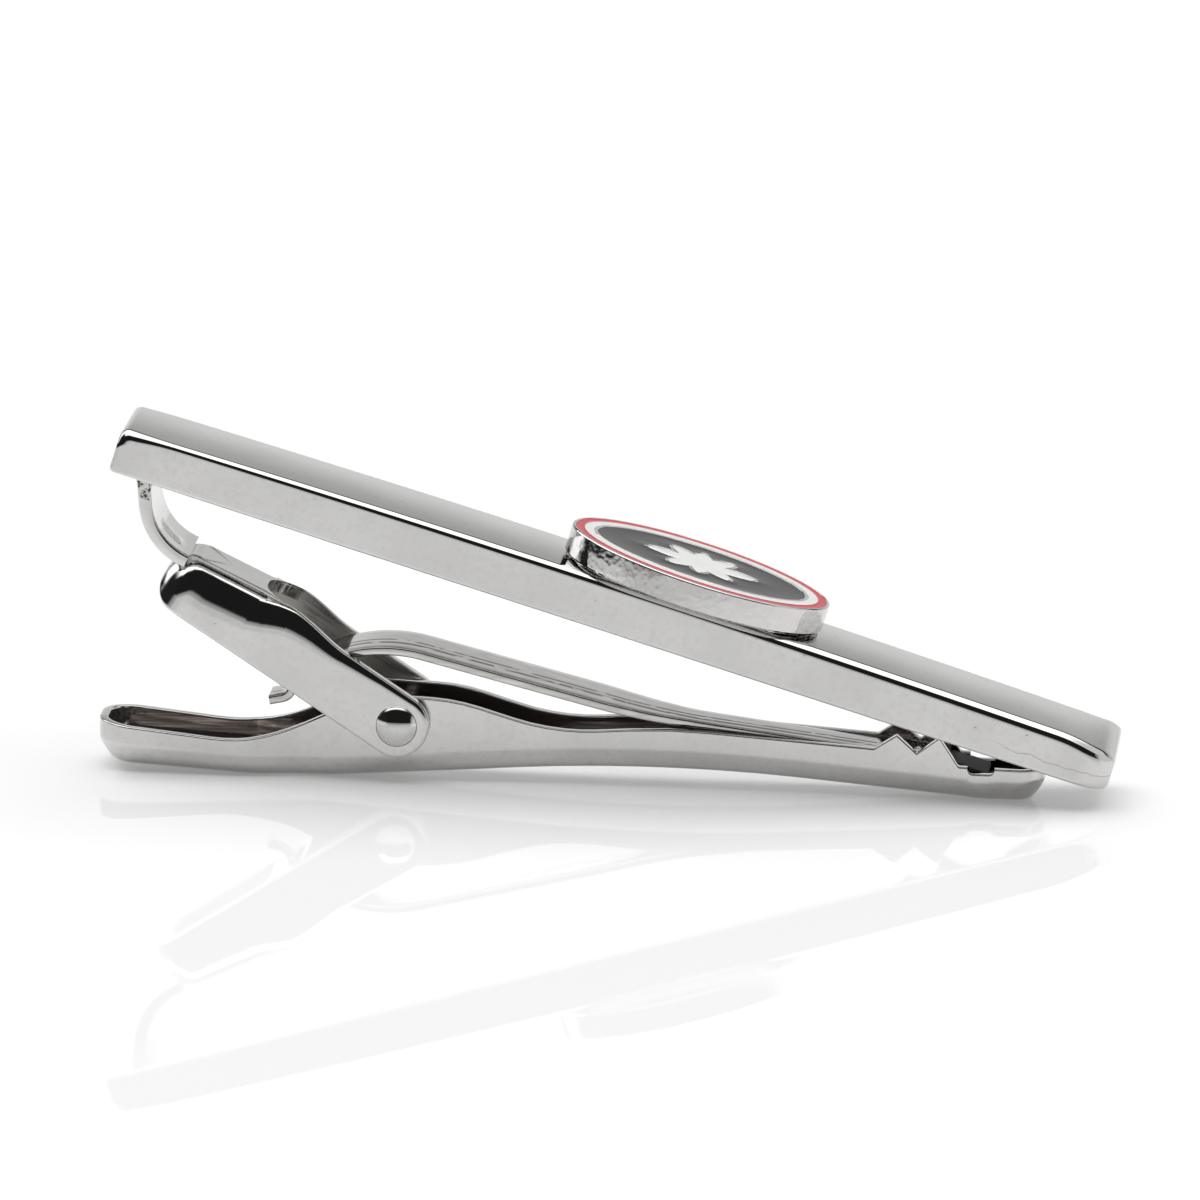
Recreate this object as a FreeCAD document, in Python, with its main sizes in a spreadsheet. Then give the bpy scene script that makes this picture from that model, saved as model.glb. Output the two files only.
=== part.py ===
"""Spring tie clip: a polished bar with an oval emblem, and a toothed jaw hinged behind it.

X runs from the thumb end to the toothed nose, Y runs across and Z is up. The origin is the middle
of the flat under the jaw's belly, on which the clip rests. The jaw, the spring and the rivet are
drawn from the hinge axis, the bracket from the hinge axis along its sloping arms, and the bar and
its emblem from the foot of the hinge axis on the bar's back. All lengths are in millimetres.
"""
import FreeCAD, Part
import math
import os
import re
import Sketcher

SIZES = {
    # Clearances and cutting
    "cut_overrun": 1.0,
    "pin_clearance": 0.05,
    "side_clearance": 0.15,
    "seat_clearance": 0.08,
    "hook_clearance": 0.2,
    "closed_gap": 0.2,
    # Front bar, measured from its thumb end
    "bar_length": 53.85,
    "bar_width": 6.35,
    "bar_mid_thickness": 2.7,
    "bar_end_thickness": 2.4,
    "nose_roll_run": 1.0,
    "nose_roll_drop": 0.38,
    "nose_roll_round": 3.5,
    "bar_corner_round": 0.47,
    "bar_foot_round": 0.25,
    "bar_edge_round": 0.45,
    "bar_slope": 16.38,
    "hinge_from_end": 18.06,
    "crown_share": 1.5,
    # Emblem on the bar
    "emblem_from_end": 30.41,
    "emblem_length": 13.9,
    "emblem_width": 9.1,
    "emblem_height": 1.45,
    "emblem_edge_round": 0.1,
    "rim_width": 0.2,
    "red_width": 0.45,
    "white_width": 0.5,
    "line_width": 0.22,
    "enamel_depth": 0.35,
    "rosette_length": 5.8,
    "rosette_width": 3.9,
    "petal_width": 1.2,
    "outline_width": 0.2,
    "solder_film": 0.12,
    "solder_inset": 0.5,
    # Hinge bracket, measured from the hinge along its arms
    "bracket_width": 5.6,
    "bracket_sheet": 0.7,
    "bracket_reach": 14.3,
    "bracket_end_round": 1.1,
    "bracket_corner_round": 1.6,
    "bracket_top_round": 1.3,
    "bracket_end_wall": 1.1,
    "arm_slope": 32.9,
    "arm_width": 3.3,
    "arm_top_start": 4.3,
    "web_front": 8.0,
    "web_end_height": 1.15,
    "web_fall": 7.5,
    "notch_reach": 9.5,
    "notch_round": 1.8,
    "bridge_back": 6.85,
    "bridge_front": 4.6,
    "slot_station": 5.63,
    "tongue_width": 4.5,
    "tongue_set": 1.4,
    "tongue_bend": 59.0,
    "tongue_bend_round": 3.1,
    "tongue_root": 0.7,
    "braze_leg": 0.35,
    "braze_side": 0.25,
    # Rivet
    "rivet_radius": 0.65,
    "rivet_head_radius": 1.08,
    "rivet_head_height": 0.5,
    "rivet_head_edge": 0.1,
    "rivet_dome_corner": 0.66,
    "rivet_dome_round": 1.2,
    # Jaw: lengths from the hinge, heights from the surface it rests on
    "hinge_height": 3.15,
    "jaw_sheet": 0.45,
    "jaw_back": 15.65,
    "jaw_front": 33.4,
    "jaw_bottom_round": 1.1,
    "tray_width": 4.9,
    "tray_end_round": 1.9,
    "tray_lift": 0.52,
    "tray_neck_start": 7.8,
    "tray_neck_end": 5.3,
    "neck_round": 4.0,
    "nose_width": 3.7,
    "nose_end_round": 1.5,
    "nose_flat": 3.0,
    "belly_back": 7.0,
    "belly_front": 3.5,
    "belly_round": 20.0,
    "arch_station": 13.5,
    "arch_height": 1.3,
    "arch_round": 100.0,
    "tray_end_wall": 2.75,
    "tray_wall": 1.8,
    "tray_wall_end": 7.2,
    "tray_wall_round": 9.0,
    "ear_wall": 4.6,
    "ear_back": 1.3,
    "ear_front": 3.0,
    "ear_front_wall": 4.4,
    "ear_round": 2.0,
    "neck_station": 8.1,
    "neck_wall": 2.88,
    "neck_wall_round": 5.0,
    "mid_station": 14.0,
    "mid_wall": 3.32,
    "mid_wall_round": 30.0,
    "teeth_start": 24.6,
    "teeth_wall": 2.66,
    "tooth_rise_run": 1.15,
    "tooth_fall_run": 1.05,
    "tooth_valley_wall": 2.48,
    "first_tooth_wall": 3.42,
    "second_tooth_wall": 3.36,
    "nose_start": 28.95,
    "nose_start_wall": 1.86,
    "nose_wall": 1.7,
    # Leaf spring: lengths from the hinge, heights of its top from the resting surface
    "spring_sheet": 0.45,
    "spring_width": 3.8,
    "spring_nose_width": 2.5,
    "spring_end": 30.7,
    "spring_end_height": 1.8,
    "spring_dip_station": 13.95,
    "spring_dip_height": 3.78,
    "spring_dip_round": 40.0,
    "crest_back": 1.82,
    "crest_height": 7.65,
    "crest_round": 7.8,
    "taper_start": 10.5,
    "taper_end": 15.5,
    "taper_round": 8.0,
    "lug_length": 1.2,
    "lug_inset": 0.05,
    "tail_width": 2.2,
    "tail_flare_back": 4.6,
    "tail_flare_front": 3.4,
    "tail_flare_round": 0.4,
    "tail_drop": 0.55,
    "tail_round": 1.5,
    "hook_drop": 2.35,
    "hook_round": 0.5,
    "hook_length": 0.85,
    "hook_turn": 45.0,
}

# Places and sizes that several pieces share, worked out from the sizes above
HINGE_X = "(belly_back + belly_front) / 2"
TOOTH_2 = "teeth_start + 2 * tooth_rise_run + tooth_fall_run"
HINGE_TO_BACK = (
    f"(({TOOTH_2}) * sin(bar_slope) + (second_tooth_wall - hinge_height) * cos(bar_slope)"
    " + closed_gap)"
)
EMBLEM_BACK = "(bar_mid_thickness + solder_film)"
EMBLEM_TOP = f"({EMBLEM_BACK} + emblem_height)"
CELL_FLOOR = f"({EMBLEM_TOP} - enamel_depth)"
ARM_HALF = "(arm_width / 2)"
CHANNEL_WIDTH = "(bracket_width - 2 * bracket_sheet)"
EAR_WIDTH = f"({CHANNEL_WIDTH} - 2 * side_clearance)"
BAR_TILT = "(arm_slope - bar_slope)"
TONGUE_REACH = "(bracket_reach + tongue_set)"

doc = FreeCAD.newDocument("TieClip")
sheet = doc.addObject("Spreadsheet::Sheet", "Sizes")
for row, (alias, value) in enumerate(SIZES.items(), 1):
    sheet.set(f"A{row}", alias)
    sheet.set(f"B{row}", str(value))
    sheet.setAlias(f"B{row}", alias)
doc.recompute()


def tied(words):
    """Return an expression in which every size name points at its cell."""
    return re.sub(r"[a-z_0-9]+", lambda m: f"Sizes.{m[0]}" if m[0] in SIZES else m[0], words)


def measure(words):
    """Work out an expression in the sizes."""
    return float(sheet.evalExpression(tied(words)))


def bind(item, sizes):
    """Tie properties of an item to expressions in the sizes."""
    for name, words in sizes.items():
        item.setExpression(name, tied(words))


def place(item, across, up, turn="0"):
    """Set an item in the clip's frame: its X, its Z and its turn about Y."""
    item.Placement = FreeCAD.Placement(FreeCAD.Vector(), FreeCAD.Rotation(FreeCAD.Vector(0, 1, 0), 1))
    bind(item, {"Placement.Base.x": across, "Placement.Base.z": up, "Placement.Rotation.Angle": turn})


def place_on_hinge(item, turn="0"):
    """Set an item that is drawn from the hinge axis."""
    place(item, HINGE_X, "hinge_height", turn)


def place_on_bar(item):
    """Set an item that is drawn from the foot of the hinge axis on the bar's back."""
    place(
        item,
        f"{HINGE_X} + {HINGE_TO_BACK} * sin(bar_slope)",
        f"hinge_height + {HINGE_TO_BACK} * cos(bar_slope)",
        "bar_slope",
    )


def hold(sketch, curve, end, across, up):
    """Tie one end of a curve to its place in the sketch."""
    for kind, words in (("DistanceX", across), ("DistanceY", up)):
        row = sketch.addConstraint(Sketcher.Constraint(kind, -1, 1, curve, end, measure(words)))
        sketch.setExpression(f"Constraints[{row}]", tied(words))


def set_radius(sketch, curve, words):
    """Tie the radius of an arc or circle."""
    row = sketch.addConstraint(Sketcher.Constraint("Radius", curve, measure(words)))
    sketch.setExpression(f"Constraints[{row}]", tied(words))


def corner_arc(spot, back, ahead, radius):
    """Return the arc that rounds a corner, where the runs meet it, and whether it turns left."""
    half = back.getAngle(ahead) / 2
    entry = spot + back * (radius / math.tan(half))
    leave = spot + ahead * (radius / math.tan(half))
    centre = spot + (back + ahead).normalize() * (radius / math.sin(half))
    left = ahead.cross(back).z > 0
    first, last = (entry, leave) if left else (leave, entry)
    angles = [math.atan2(end.y - centre.y, end.x - centre.x) for end in (first, last)]
    circle = Part.Circle(centre, FreeCAD.Vector(0, 0, 1), radius)
    return Part.ArcOfCircle(circle, angles[0], angles[1]), entry, leave, left


def outline(sketch, corners, closed=True):
    """Draw straight runs through the corners, and round each corner that has a radius.

    A corner is (across, up) or (across, up, radius), each an expression in the sizes.
    """
    spots = [FreeCAD.Vector(measure(corner[0]), measure(corner[1]), 0) for corner in corners]
    count = len(spots)
    entries = list(spots)
    leaves = list(spots)
    arcs = {}
    for i, corner in enumerate(corners):
        if len(corner) == 3:
            back = (spots[i - 1] - spots[i]).normalize()
            ahead = (spots[(i + 1) % count] - spots[i]).normalize()
            arc, entries[i], leaves[i], left = corner_arc(spots[i], back, ahead, measure(corner[2]))
            arcs[i] = (sketch.addGeometry(arc), left)
    run_count = count if closed else count - 1
    runs = []
    for i in range(run_count):
        runs.append(sketch.addGeometry(Part.LineSegment(leaves[i], entries[(i + 1) % count])))
    inner = range(count) if closed else range(1, count - 1)
    for i in inner:
        before, after = runs[i - 1], runs[i]
        if i in arcs:
            arc, left = arcs[i]
            start, finish = (1, 2) if left else (2, 1)
            mark = sketch.addGeometry(Part.Point(spots[i]), True)
            hold(sketch, mark, 1, corners[i][0], corners[i][1])
            sketch.addConstraint(Sketcher.Constraint("PointOnObject", mark, 1, before))
            sketch.addConstraint(Sketcher.Constraint("PointOnObject", mark, 1, after))
            sketch.addConstraint(Sketcher.Constraint("Tangent", before, 2, arc, start))
            sketch.addConstraint(Sketcher.Constraint("Tangent", arc, finish, after, 1))
            set_radius(sketch, arc, corners[i][2])
        else:
            sketch.addConstraint(Sketcher.Constraint("Coincident", before, 2, after, 1))
            hold(sketch, after, 1, corners[i][0], corners[i][1])
    if not closed:
        hold(sketch, runs[0], 1, corners[0][0], corners[0][1])
        hold(sketch, runs[-1], 2, corners[-1][0], corners[-1][1])
    return sketch


def mirrored(half_outline):
    """Close a plan outline: the near half as given, then its mirror image on the far side."""
    near = [(corner[0], f"-({corner[1]})", *corner[2:]) for corner in half_outline]
    return near + list(reversed(half_outline))


def body_sketch(body, name, role):
    """Add an empty sketch on one of a body's own origin planes."""
    sketch = body.newObject("Sketcher::SketchObject", name)
    plane = [feature for feature in body.Origin.OriginFeatures if feature.Role == role][0]
    sketch.AttachmentSupport = [(plane, "")]
    sketch.MapMode = "FlatFace"
    return sketch


def side_sketch(name):
    """Add an empty sketch that stands upright along X, outside any body."""
    sketch = doc.addObject("Sketcher::SketchObject", name)
    sketch.Placement.Rotation = FreeCAD.Rotation(FreeCAD.Vector(1, 0, 0), 90)
    return sketch


def pad(body, sketch, length):
    """Thicken a sketch evenly to both sides of its plane."""
    feature = body.newObject("PartDesign::Pad", sketch.Name + "_pad")
    feature.Profile = sketch
    feature.SideType = "Symmetric"
    bind(feature, {"Length": length})
    doc.recompute()


def pocket(body, sketch, length=None):
    """Cut a sketch evenly to both sides of its plane, right through unless a length is given."""
    before = body.Shape.Volume
    feature = body.newObject("PartDesign::Pocket", sketch.Name + "_pocket")
    feature.Profile = sketch
    feature.SideType = "Symmetric"
    if length:
        bind(feature, {"Length": length})
    else:
        feature.Type = "ThroughAll"
    doc.recompute()
    if not body.Shape.Volume < before:
        raise RuntimeError(f"{sketch.Name} cuts nothing")


def circle(sketch, radius):
    """Draw a circle about the hinge axis."""
    ring = sketch.addGeometry(Part.Circle(FreeCAD.Vector(), FreeCAD.Vector(0, 0, 1), measure(radius)))
    sketch.addConstraint(Sketcher.Constraint("Coincident", ring, 3, -1, 1))
    set_radius(sketch, ring, radius)


def bore(body, name, radius):
    """Cut a round hole through a body along the hinge axis."""
    sketch = body_sketch(body, name, "XZ_Plane")
    circle(sketch, radius)
    pocket(body, sketch)


def facing(shape, edge):
    """Return the outward normals, at an edge's middle, of the faces that meet there."""
    middle = edge.valueAt((edge.FirstParameter + edge.LastParameter) / 2)
    faces = shape.ancestorsOfType(edge, Part.Face)
    return [face.normalAt(*face.Surface.parameter(middle)) for face in faces]


def is_above(normals):
    """Tell whether one of the faces looks up."""
    return max(normal.z for normal in normals) > math.cos(math.radians(45))


def is_below(normals):
    """Tell whether one of the faces looks down."""
    return min(normal.z for normal in normals) < -math.cos(math.radians(45))


def is_sideways(normals):
    """Tell whether one of the faces looks across, to either side."""
    return max(abs(normal.y) for normal in normals) > math.cos(math.radians(45))


def rounded(body, name, radius, chosen):
    """Fillet the edges of a body that the test picks by their middle and their faces' normals."""
    base = body.Tip
    edges = []
    for number, edge in enumerate(base.Shape.Edges, 1):
        middle = edge.valueAt((edge.FirstParameter + edge.LastParameter) / 2)
        if chosen(middle, facing(base.Shape, edge)):
            edges.append(f"Edge{number}")
    feature = body.newObject("PartDesign::Fillet", name)
    feature.Base = (base, edges)
    bind(feature, {"Radius": radius})
    doc.recompute()


def prism(name, base, length, direction, solid_both_ways=False):
    """Extrude a flat shape along a direction."""
    feature = doc.addObject("Part::Extrusion", name)
    feature.Base = base
    feature.DirMode = "Custom"
    feature.Dir = direction
    feature.Solid = True
    feature.Symmetric = solid_both_ways
    bind(feature, {"LengthFwd": length})
    return feature


def strip(name, path, thickness, width):
    """Make a bent strip: a path along its upper face, its thickness and its width across Y."""
    band = doc.addObject("Part::Offset2D", name + "_band")
    band.Source = path
    band.Mode = "Skin"
    band.Join = "Intersection"
    band.Fill = True
    bind(band, {"Value": f"-({thickness})"})
    return prism(name, band, width, FreeCAD.Vector(0, 1, 0), True)


def boolean(kind, name, base, tool):
    """Combine two shapes: Cut, Common or Fuse."""
    feature = doc.addObject("Part::" + kind, name)
    feature.Base = base
    feature.Tool = tool
    return feature


def make_bar():
    """Bar with a flat back, a front crowned lengthwise, a rolled nose end and rounded edges."""
    body = doc.addObject("PartDesign::Body", "front_bar")
    start = "-hinge_from_end"
    end = "bar_length - hinge_from_end"
    middle = "bar_length / 2 - hinge_from_end"
    sag = "(bar_mid_thickness - bar_end_thickness)"
    peak = f"bar_end_thickness + crown_share * {sag}"
    fall = f"(crown_share * {sag} / (bar_length / 2))"
    crown_angle = f"atan({fall})"
    crown_radius = f"(crown_share - 1) * {sag} / (1 / cos({crown_angle}) - 1)"
    sketch = outline(body_sketch(body, "bar_side", "XZ_Plane"), [
        (start, "0"),
        (end, "0"),
        (end, "bar_end_thickness - nose_roll_drop", "bar_corner_round"),
        (f"{end} - nose_roll_run", f"bar_end_thickness + nose_roll_run * {fall}", "nose_roll_round"),
        (middle, peak, crown_radius),
        (start, "bar_end_thickness", "bar_corner_round"),
    ])
    pad(body, sketch, "bar_width")
    rounded(body, "bar_front_edges", "bar_edge_round", lambda middle, normals: (
        is_sideways(normals) and not is_below(normals)
    ))
    rounded(body, "bar_back_edges", "bar_foot_round", lambda middle, normals: is_below(normals))
    place_on_bar(body)
    return body


def oval(name, inset, low, high):
    """Stand the emblem's outline, drawn in by an inset, on the bar between two heights."""
    edge = doc.addObject("Part::Ellipse", name + "_edge")
    bind(edge, {
        "MajorRadius": f"emblem_length / 2 - ({inset})",
        "MinorRadius": f"emblem_width / 2 - ({inset})",
        "Placement.Base.x": "emblem_from_end - hinge_from_end",
        "Placement.Base.z": low,
    })
    return prism(name, edge, f"({high}) - ({low})", FreeCAD.Vector(0, 0, 1))


def rosette(name, growth):
    """Eight petals round the emblem's centre: four long ovals that cross, grown by an outline."""
    petals = []
    for step in range(4):
        turn = step * 180 / 4
        spread = f"sqrt((rosette_width * cos({turn}))^2 + (rosette_length * sin({turn}))^2)"
        edge = doc.addObject("Part::Ellipse", f"{name}_petal_{step}_edge")
        edge.Placement.Rotation = FreeCAD.Rotation(FreeCAD.Vector(0, 0, 1), turn)
        bind(edge, {
            "MajorRadius": f"rosette_length * rosette_width / 2 / {spread} + {growth}",
            "MinorRadius": f"petal_width / 2 + {growth}",
            "Placement.Base.x": "emblem_from_end - hinge_from_end",
            "Placement.Base.z": CELL_FLOOR,
        })
        petals.append(prism(f"{name}_petal_{step}", edge, "enamel_depth", FreeCAD.Vector(0, 0, 1)))
    flower = doc.addObject("Part::MultiFuse", name)
    flower.Shapes = petals
    return flower


def make_enamel():
    """Four enamel fills, flush with the emblem's top: two rings, a field and a rosette in it."""
    red_inset = "rim_width"
    white_inset = f"{red_inset} + red_width"
    line_inset = f"{white_inset} + white_width"
    field_inset = f"{line_inset} + line_width"
    insets = {"red": red_inset, "white": white_inset, "line": line_inset, "field": field_inset}
    ovals = {name: oval(f"cell_{name}", inset, CELL_FLOOR, EMBLEM_TOP) for name, inset in insets.items()}
    red = boolean("Cut", "enamel_red_ring", ovals["red"], ovals["white"])
    white = boolean("Cut", "enamel_white_ring", ovals["white"], ovals["line"])
    field = boolean("Cut", "enamel_dark_field", ovals["field"], rosette("rosette_outline", "outline_width"))
    flower = rosette("enamel_white_rosette", "0")
    fills = [red, white, field, flower]
    for fill in fills:
        place_on_bar(fill)
    return fills


def make_emblem_base(fills):
    """Oval plate with a soft front edge, and cells cut to hold the enamel."""
    plate = oval("emblem_plate", "0", EMBLEM_BACK, EMBLEM_TOP)
    doc.recompute()
    radius = measure("emblem_edge_round")
    highest = plate.Shape.BoundBox.ZMax - radius
    soft_plate = doc.addObject("Part::Fillet", "emblem_soft_plate")
    soft_plate.Base = plate
    soft_plate.Edges = [
        (number, radius, radius) for number, edge in enumerate(plate.Shape.Edges, 1)
        if edge.BoundBox.ZMin > highest
    ]
    place_on_bar(soft_plate)
    cells = doc.addObject("Part::MultiFuse", "enamel_cells")
    cells.Shapes = fills
    return boolean("Cut", "emblem_base", soft_plate, cells)


def make_solder(bar):
    """Solder that fills the space between the bar's crown and the emblem's flat back."""
    film = oval("solder_oval", "solder_inset", "bar_end_thickness", EMBLEM_BACK)
    strip_of_bar = doc.addObject("Part::Box", "solder_width")
    bind(strip_of_bar, {
        "Length": "bar_length",
        "Width": "bar_width - 2 * bar_edge_round",
        "Height": EMBLEM_BACK,
        "Placement.Base.x": "-hinge_from_end",
        "Placement.Base.y": "bar_edge_round - bar_width / 2",
    })
    pool = boolean("Common", "solder_pool", film, strip_of_bar)
    place_on_bar(pool)
    return boolean("Cut", "emblem_solder", pool, bar)


def web_height(station):
    """Return the height of the bracket's web over the hinge line, at a distance behind the hinge."""
    return f"(web_end_height + (bracket_reach - ({station})) * tan(web_fall))"


def make_channel():
    """Channel of the bracket: two arms with ears, a web over their back half, and a slotted bridge."""
    body = doc.addObject("PartDesign::Body", "bracket_channel")
    outer_half = "bracket_width / 2"
    block_height = f"2 * {web_height('0')}"
    pad(body, outline(body_sketch(body, "bracket_plan", "XY_Plane"), mirrored([
        ("-bracket_reach", outer_half, "bracket_corner_round"),
        ("0", outer_half),
    ])), block_height)
    side = body_sketch(body, "bracket_side", "XZ_Plane")
    outline(side, [
        ("-(bracket_reach + cut_overrun)", f"-{block_height}"),
        ("2 * cut_overrun", f"-{block_height}"),
        ("2 * cut_overrun", block_height),
        ("-(bracket_reach + cut_overrun)", block_height),
    ])
    outline(side, [
        ("-bracket_reach", f"-{ARM_HALF}", "bracket_end_round"),
        ("cut_overrun", f"-{ARM_HALF}"),
        ("cut_overrun", web_height("-cut_overrun")),
        ("-bracket_reach", "web_end_height"),
    ])
    pocket(body, side)
    rounded(body, "bracket_top_edges", "bracket_top_round", lambda middle, normals: (
        is_sideways(normals) and is_above(normals)
    ))
    pocket(body, outline(body_sketch(body, "arm_top", "XZ_Plane"), [
        ("-web_front", web_height("web_front")),
        ("-arm_top_start", ARM_HALF),
        ("cut_overrun", ARM_HALF),
        ("cut_overrun", block_height),
        ("-web_front", block_height),
    ]))
    ear = body_sketch(body, "ear", "XZ_Plane")
    circle(ear, ARM_HALF)
    pad(body, ear, "bracket_width")
    inner_back = "(bracket_reach - bracket_end_wall)"
    web_drop = "bracket_sheet / cos(web_fall)"
    pocket(body, outline(body_sketch(body, "channel", "XZ_Plane"), [
        (f"-{inner_back}", f"-({ARM_HALF} + cut_overrun)"),
        (f"{ARM_HALF} + cut_overrun", f"-({ARM_HALF} + cut_overrun)"),
        (f"{ARM_HALF} + cut_overrun", f"{web_height(f'-({ARM_HALF} + cut_overrun)')} - {web_drop}"),
        (f"-{inner_back}", f"{web_height(inner_back)} - {web_drop}"),
    ]), CHANNEL_WIDTH)
    pocket(body, outline(body_sketch(body, "web_notch", "XY_Plane"), mirrored([
        ("-notch_reach", f"{CHANNEL_WIDTH} / 2", "notch_round"),
        (f"{ARM_HALF} + cut_overrun", f"{CHANNEL_WIDTH} / 2"),
    ])))
    pad(body, outline(body_sketch(body, "bridge", "XZ_Plane"), [
        ("-bridge_back", f"-{ARM_HALF}"),
        ("-bridge_front", f"-{ARM_HALF}"),
        ("-bridge_front", f"bracket_sheet - {ARM_HALF}"),
        ("-bridge_back", f"bracket_sheet - {ARM_HALF}"),
    ]), "bracket_width - bracket_sheet")
    slot_half = "tail_width / 2 + hook_clearance"
    pocket(body, outline(body_sketch(body, "hook_slot", "XY_Plane"), mirrored([
        ("-(slot_station + hook_clearance)", slot_half),
        ("spring_sheet + hook_clearance - slot_station", slot_half),
    ])))
    bore(body, "rivet_hole", "rivet_radius")
    return body


def tongue_climb():
    """Return the distance from the corner of the tongue's bend to the plane of the bar's back."""
    foot = web_height(TONGUE_REACH)
    return f"({HINGE_TO_BACK} - {TONGUE_REACH} * sin({BAR_TILT}) - {foot} * cos({BAR_TILT}))"


def make_tongue():
    """Tongue bent up from the bracket's web to the bar's back, where it is trimmed."""
    lean = "(tongue_bend - web_fall)"
    foot = web_height(TONGUE_REACH)
    length = f"({tongue_climb()} / sin({lean} + {BAR_TILT}) + cut_overrun)"
    path = outline(side_sketch("tongue_path"), [
        (f"-{TONGUE_REACH} - {length} * cos({lean})", f"{foot} + {length} * sin({lean})"),
        (f"-{TONGUE_REACH}", foot, "tongue_bend_round"),
        ("tongue_root - bracket_reach", web_height("bracket_reach - tongue_root")),
    ], closed=False)
    bar_space = doc.addObject("Part::Box", "bar_space")
    bar_space.Placement.Rotation = FreeCAD.Rotation(FreeCAD.Vector(0, 1, 0), 1)
    bind(bar_space, {
        "Length": "bar_length",
        "Width": "bar_width",
        "Height": "bar_mid_thickness + cut_overrun",
        "Placement.Rotation.Angle": f"-{BAR_TILT}",
        "Placement.Base.x": f"-{HINGE_TO_BACK} * sin({BAR_TILT}) - hinge_from_end * cos({BAR_TILT})",
        "Placement.Base.y": "-bar_width / 2",
        "Placement.Base.z": f"{HINGE_TO_BACK} * cos({BAR_TILT}) - hinge_from_end * sin({BAR_TILT})",
    })
    bent = strip("tongue_strip", path, "bracket_sheet", "tongue_width")
    return boolean("Cut", "tongue", bent, bar_space)


def make_bracket():
    """Hinge bracket: the channel and its tongue, one stamped piece."""
    bracket = boolean("Fuse", "hinge_bracket", make_channel(), make_tongue())
    place_on_hinge(bracket, "arm_slope")
    return bracket


def make_braze(bracket):
    """Bead of braze round the tongue's end, on the bar's back."""
    lean = f"(tongue_bend - web_fall + {BAR_TILT})"
    bend_along = f"({web_height(TONGUE_REACH)} * sin({BAR_TILT}) - {TONGUE_REACH} * cos({BAR_TILT}))"
    inner = f"({bend_along} - {tongue_climb()} / tan({lean}))"
    outer = f"({inner} - bracket_sheet / sin({lean}))"
    bead = outline(side_sketch("braze_side"), [
        (f"{outer} - braze_leg", "0"),
        (f"{outer} + braze_leg / tan({lean})", "-braze_leg"),
        (f"{inner} + braze_leg / tan({lean})", "-braze_leg"),
        (f"{inner} + braze_leg", "0"),
    ])
    block = prism("braze_block", bead, "tongue_width + 2 * braze_side", FreeCAD.Vector(0, 1, 0), True)
    place_on_bar(block)
    return boolean("Cut", "tongue_braze", block, bracket)


def make_rivet():
    """Hinge rivet: a shaft through both arms with a domed head outside each."""
    body = doc.addObject("PartDesign::Body", "hinge_rivet")
    seat = "bracket_width / 2"
    crown = f"({seat} + rivet_head_height)"
    profile = outline(body_sketch(body, "rivet_profile", "XY_Plane"), [
        ("0", f"-{crown}"),
        ("rivet_dome_corner", f"-{crown}", "rivet_dome_round"),
        ("rivet_head_radius", f"-({seat} + rivet_head_edge)"),
        ("rivet_head_radius", f"-{seat}"),
        ("rivet_radius", f"-{seat}"),
        ("rivet_radius", seat),
        ("rivet_head_radius", seat),
        ("rivet_head_radius", f"{seat} + rivet_head_edge"),
        ("rivet_dome_corner", crown, "rivet_dome_round"),
        ("0", crown),
    ])
    turned = body.newObject("PartDesign::Revolution", "rivet_turned")
    turned.Profile = profile
    turned.ReferenceAxis = (profile, ["V_Axis"])
    turned.Angle = 360
    doc.recompute()
    place_on_hinge(body)
    return body


def level(height):
    """Return a height over the resting surface as a height over the hinge."""
    return f"{height} - hinge_height"


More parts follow.
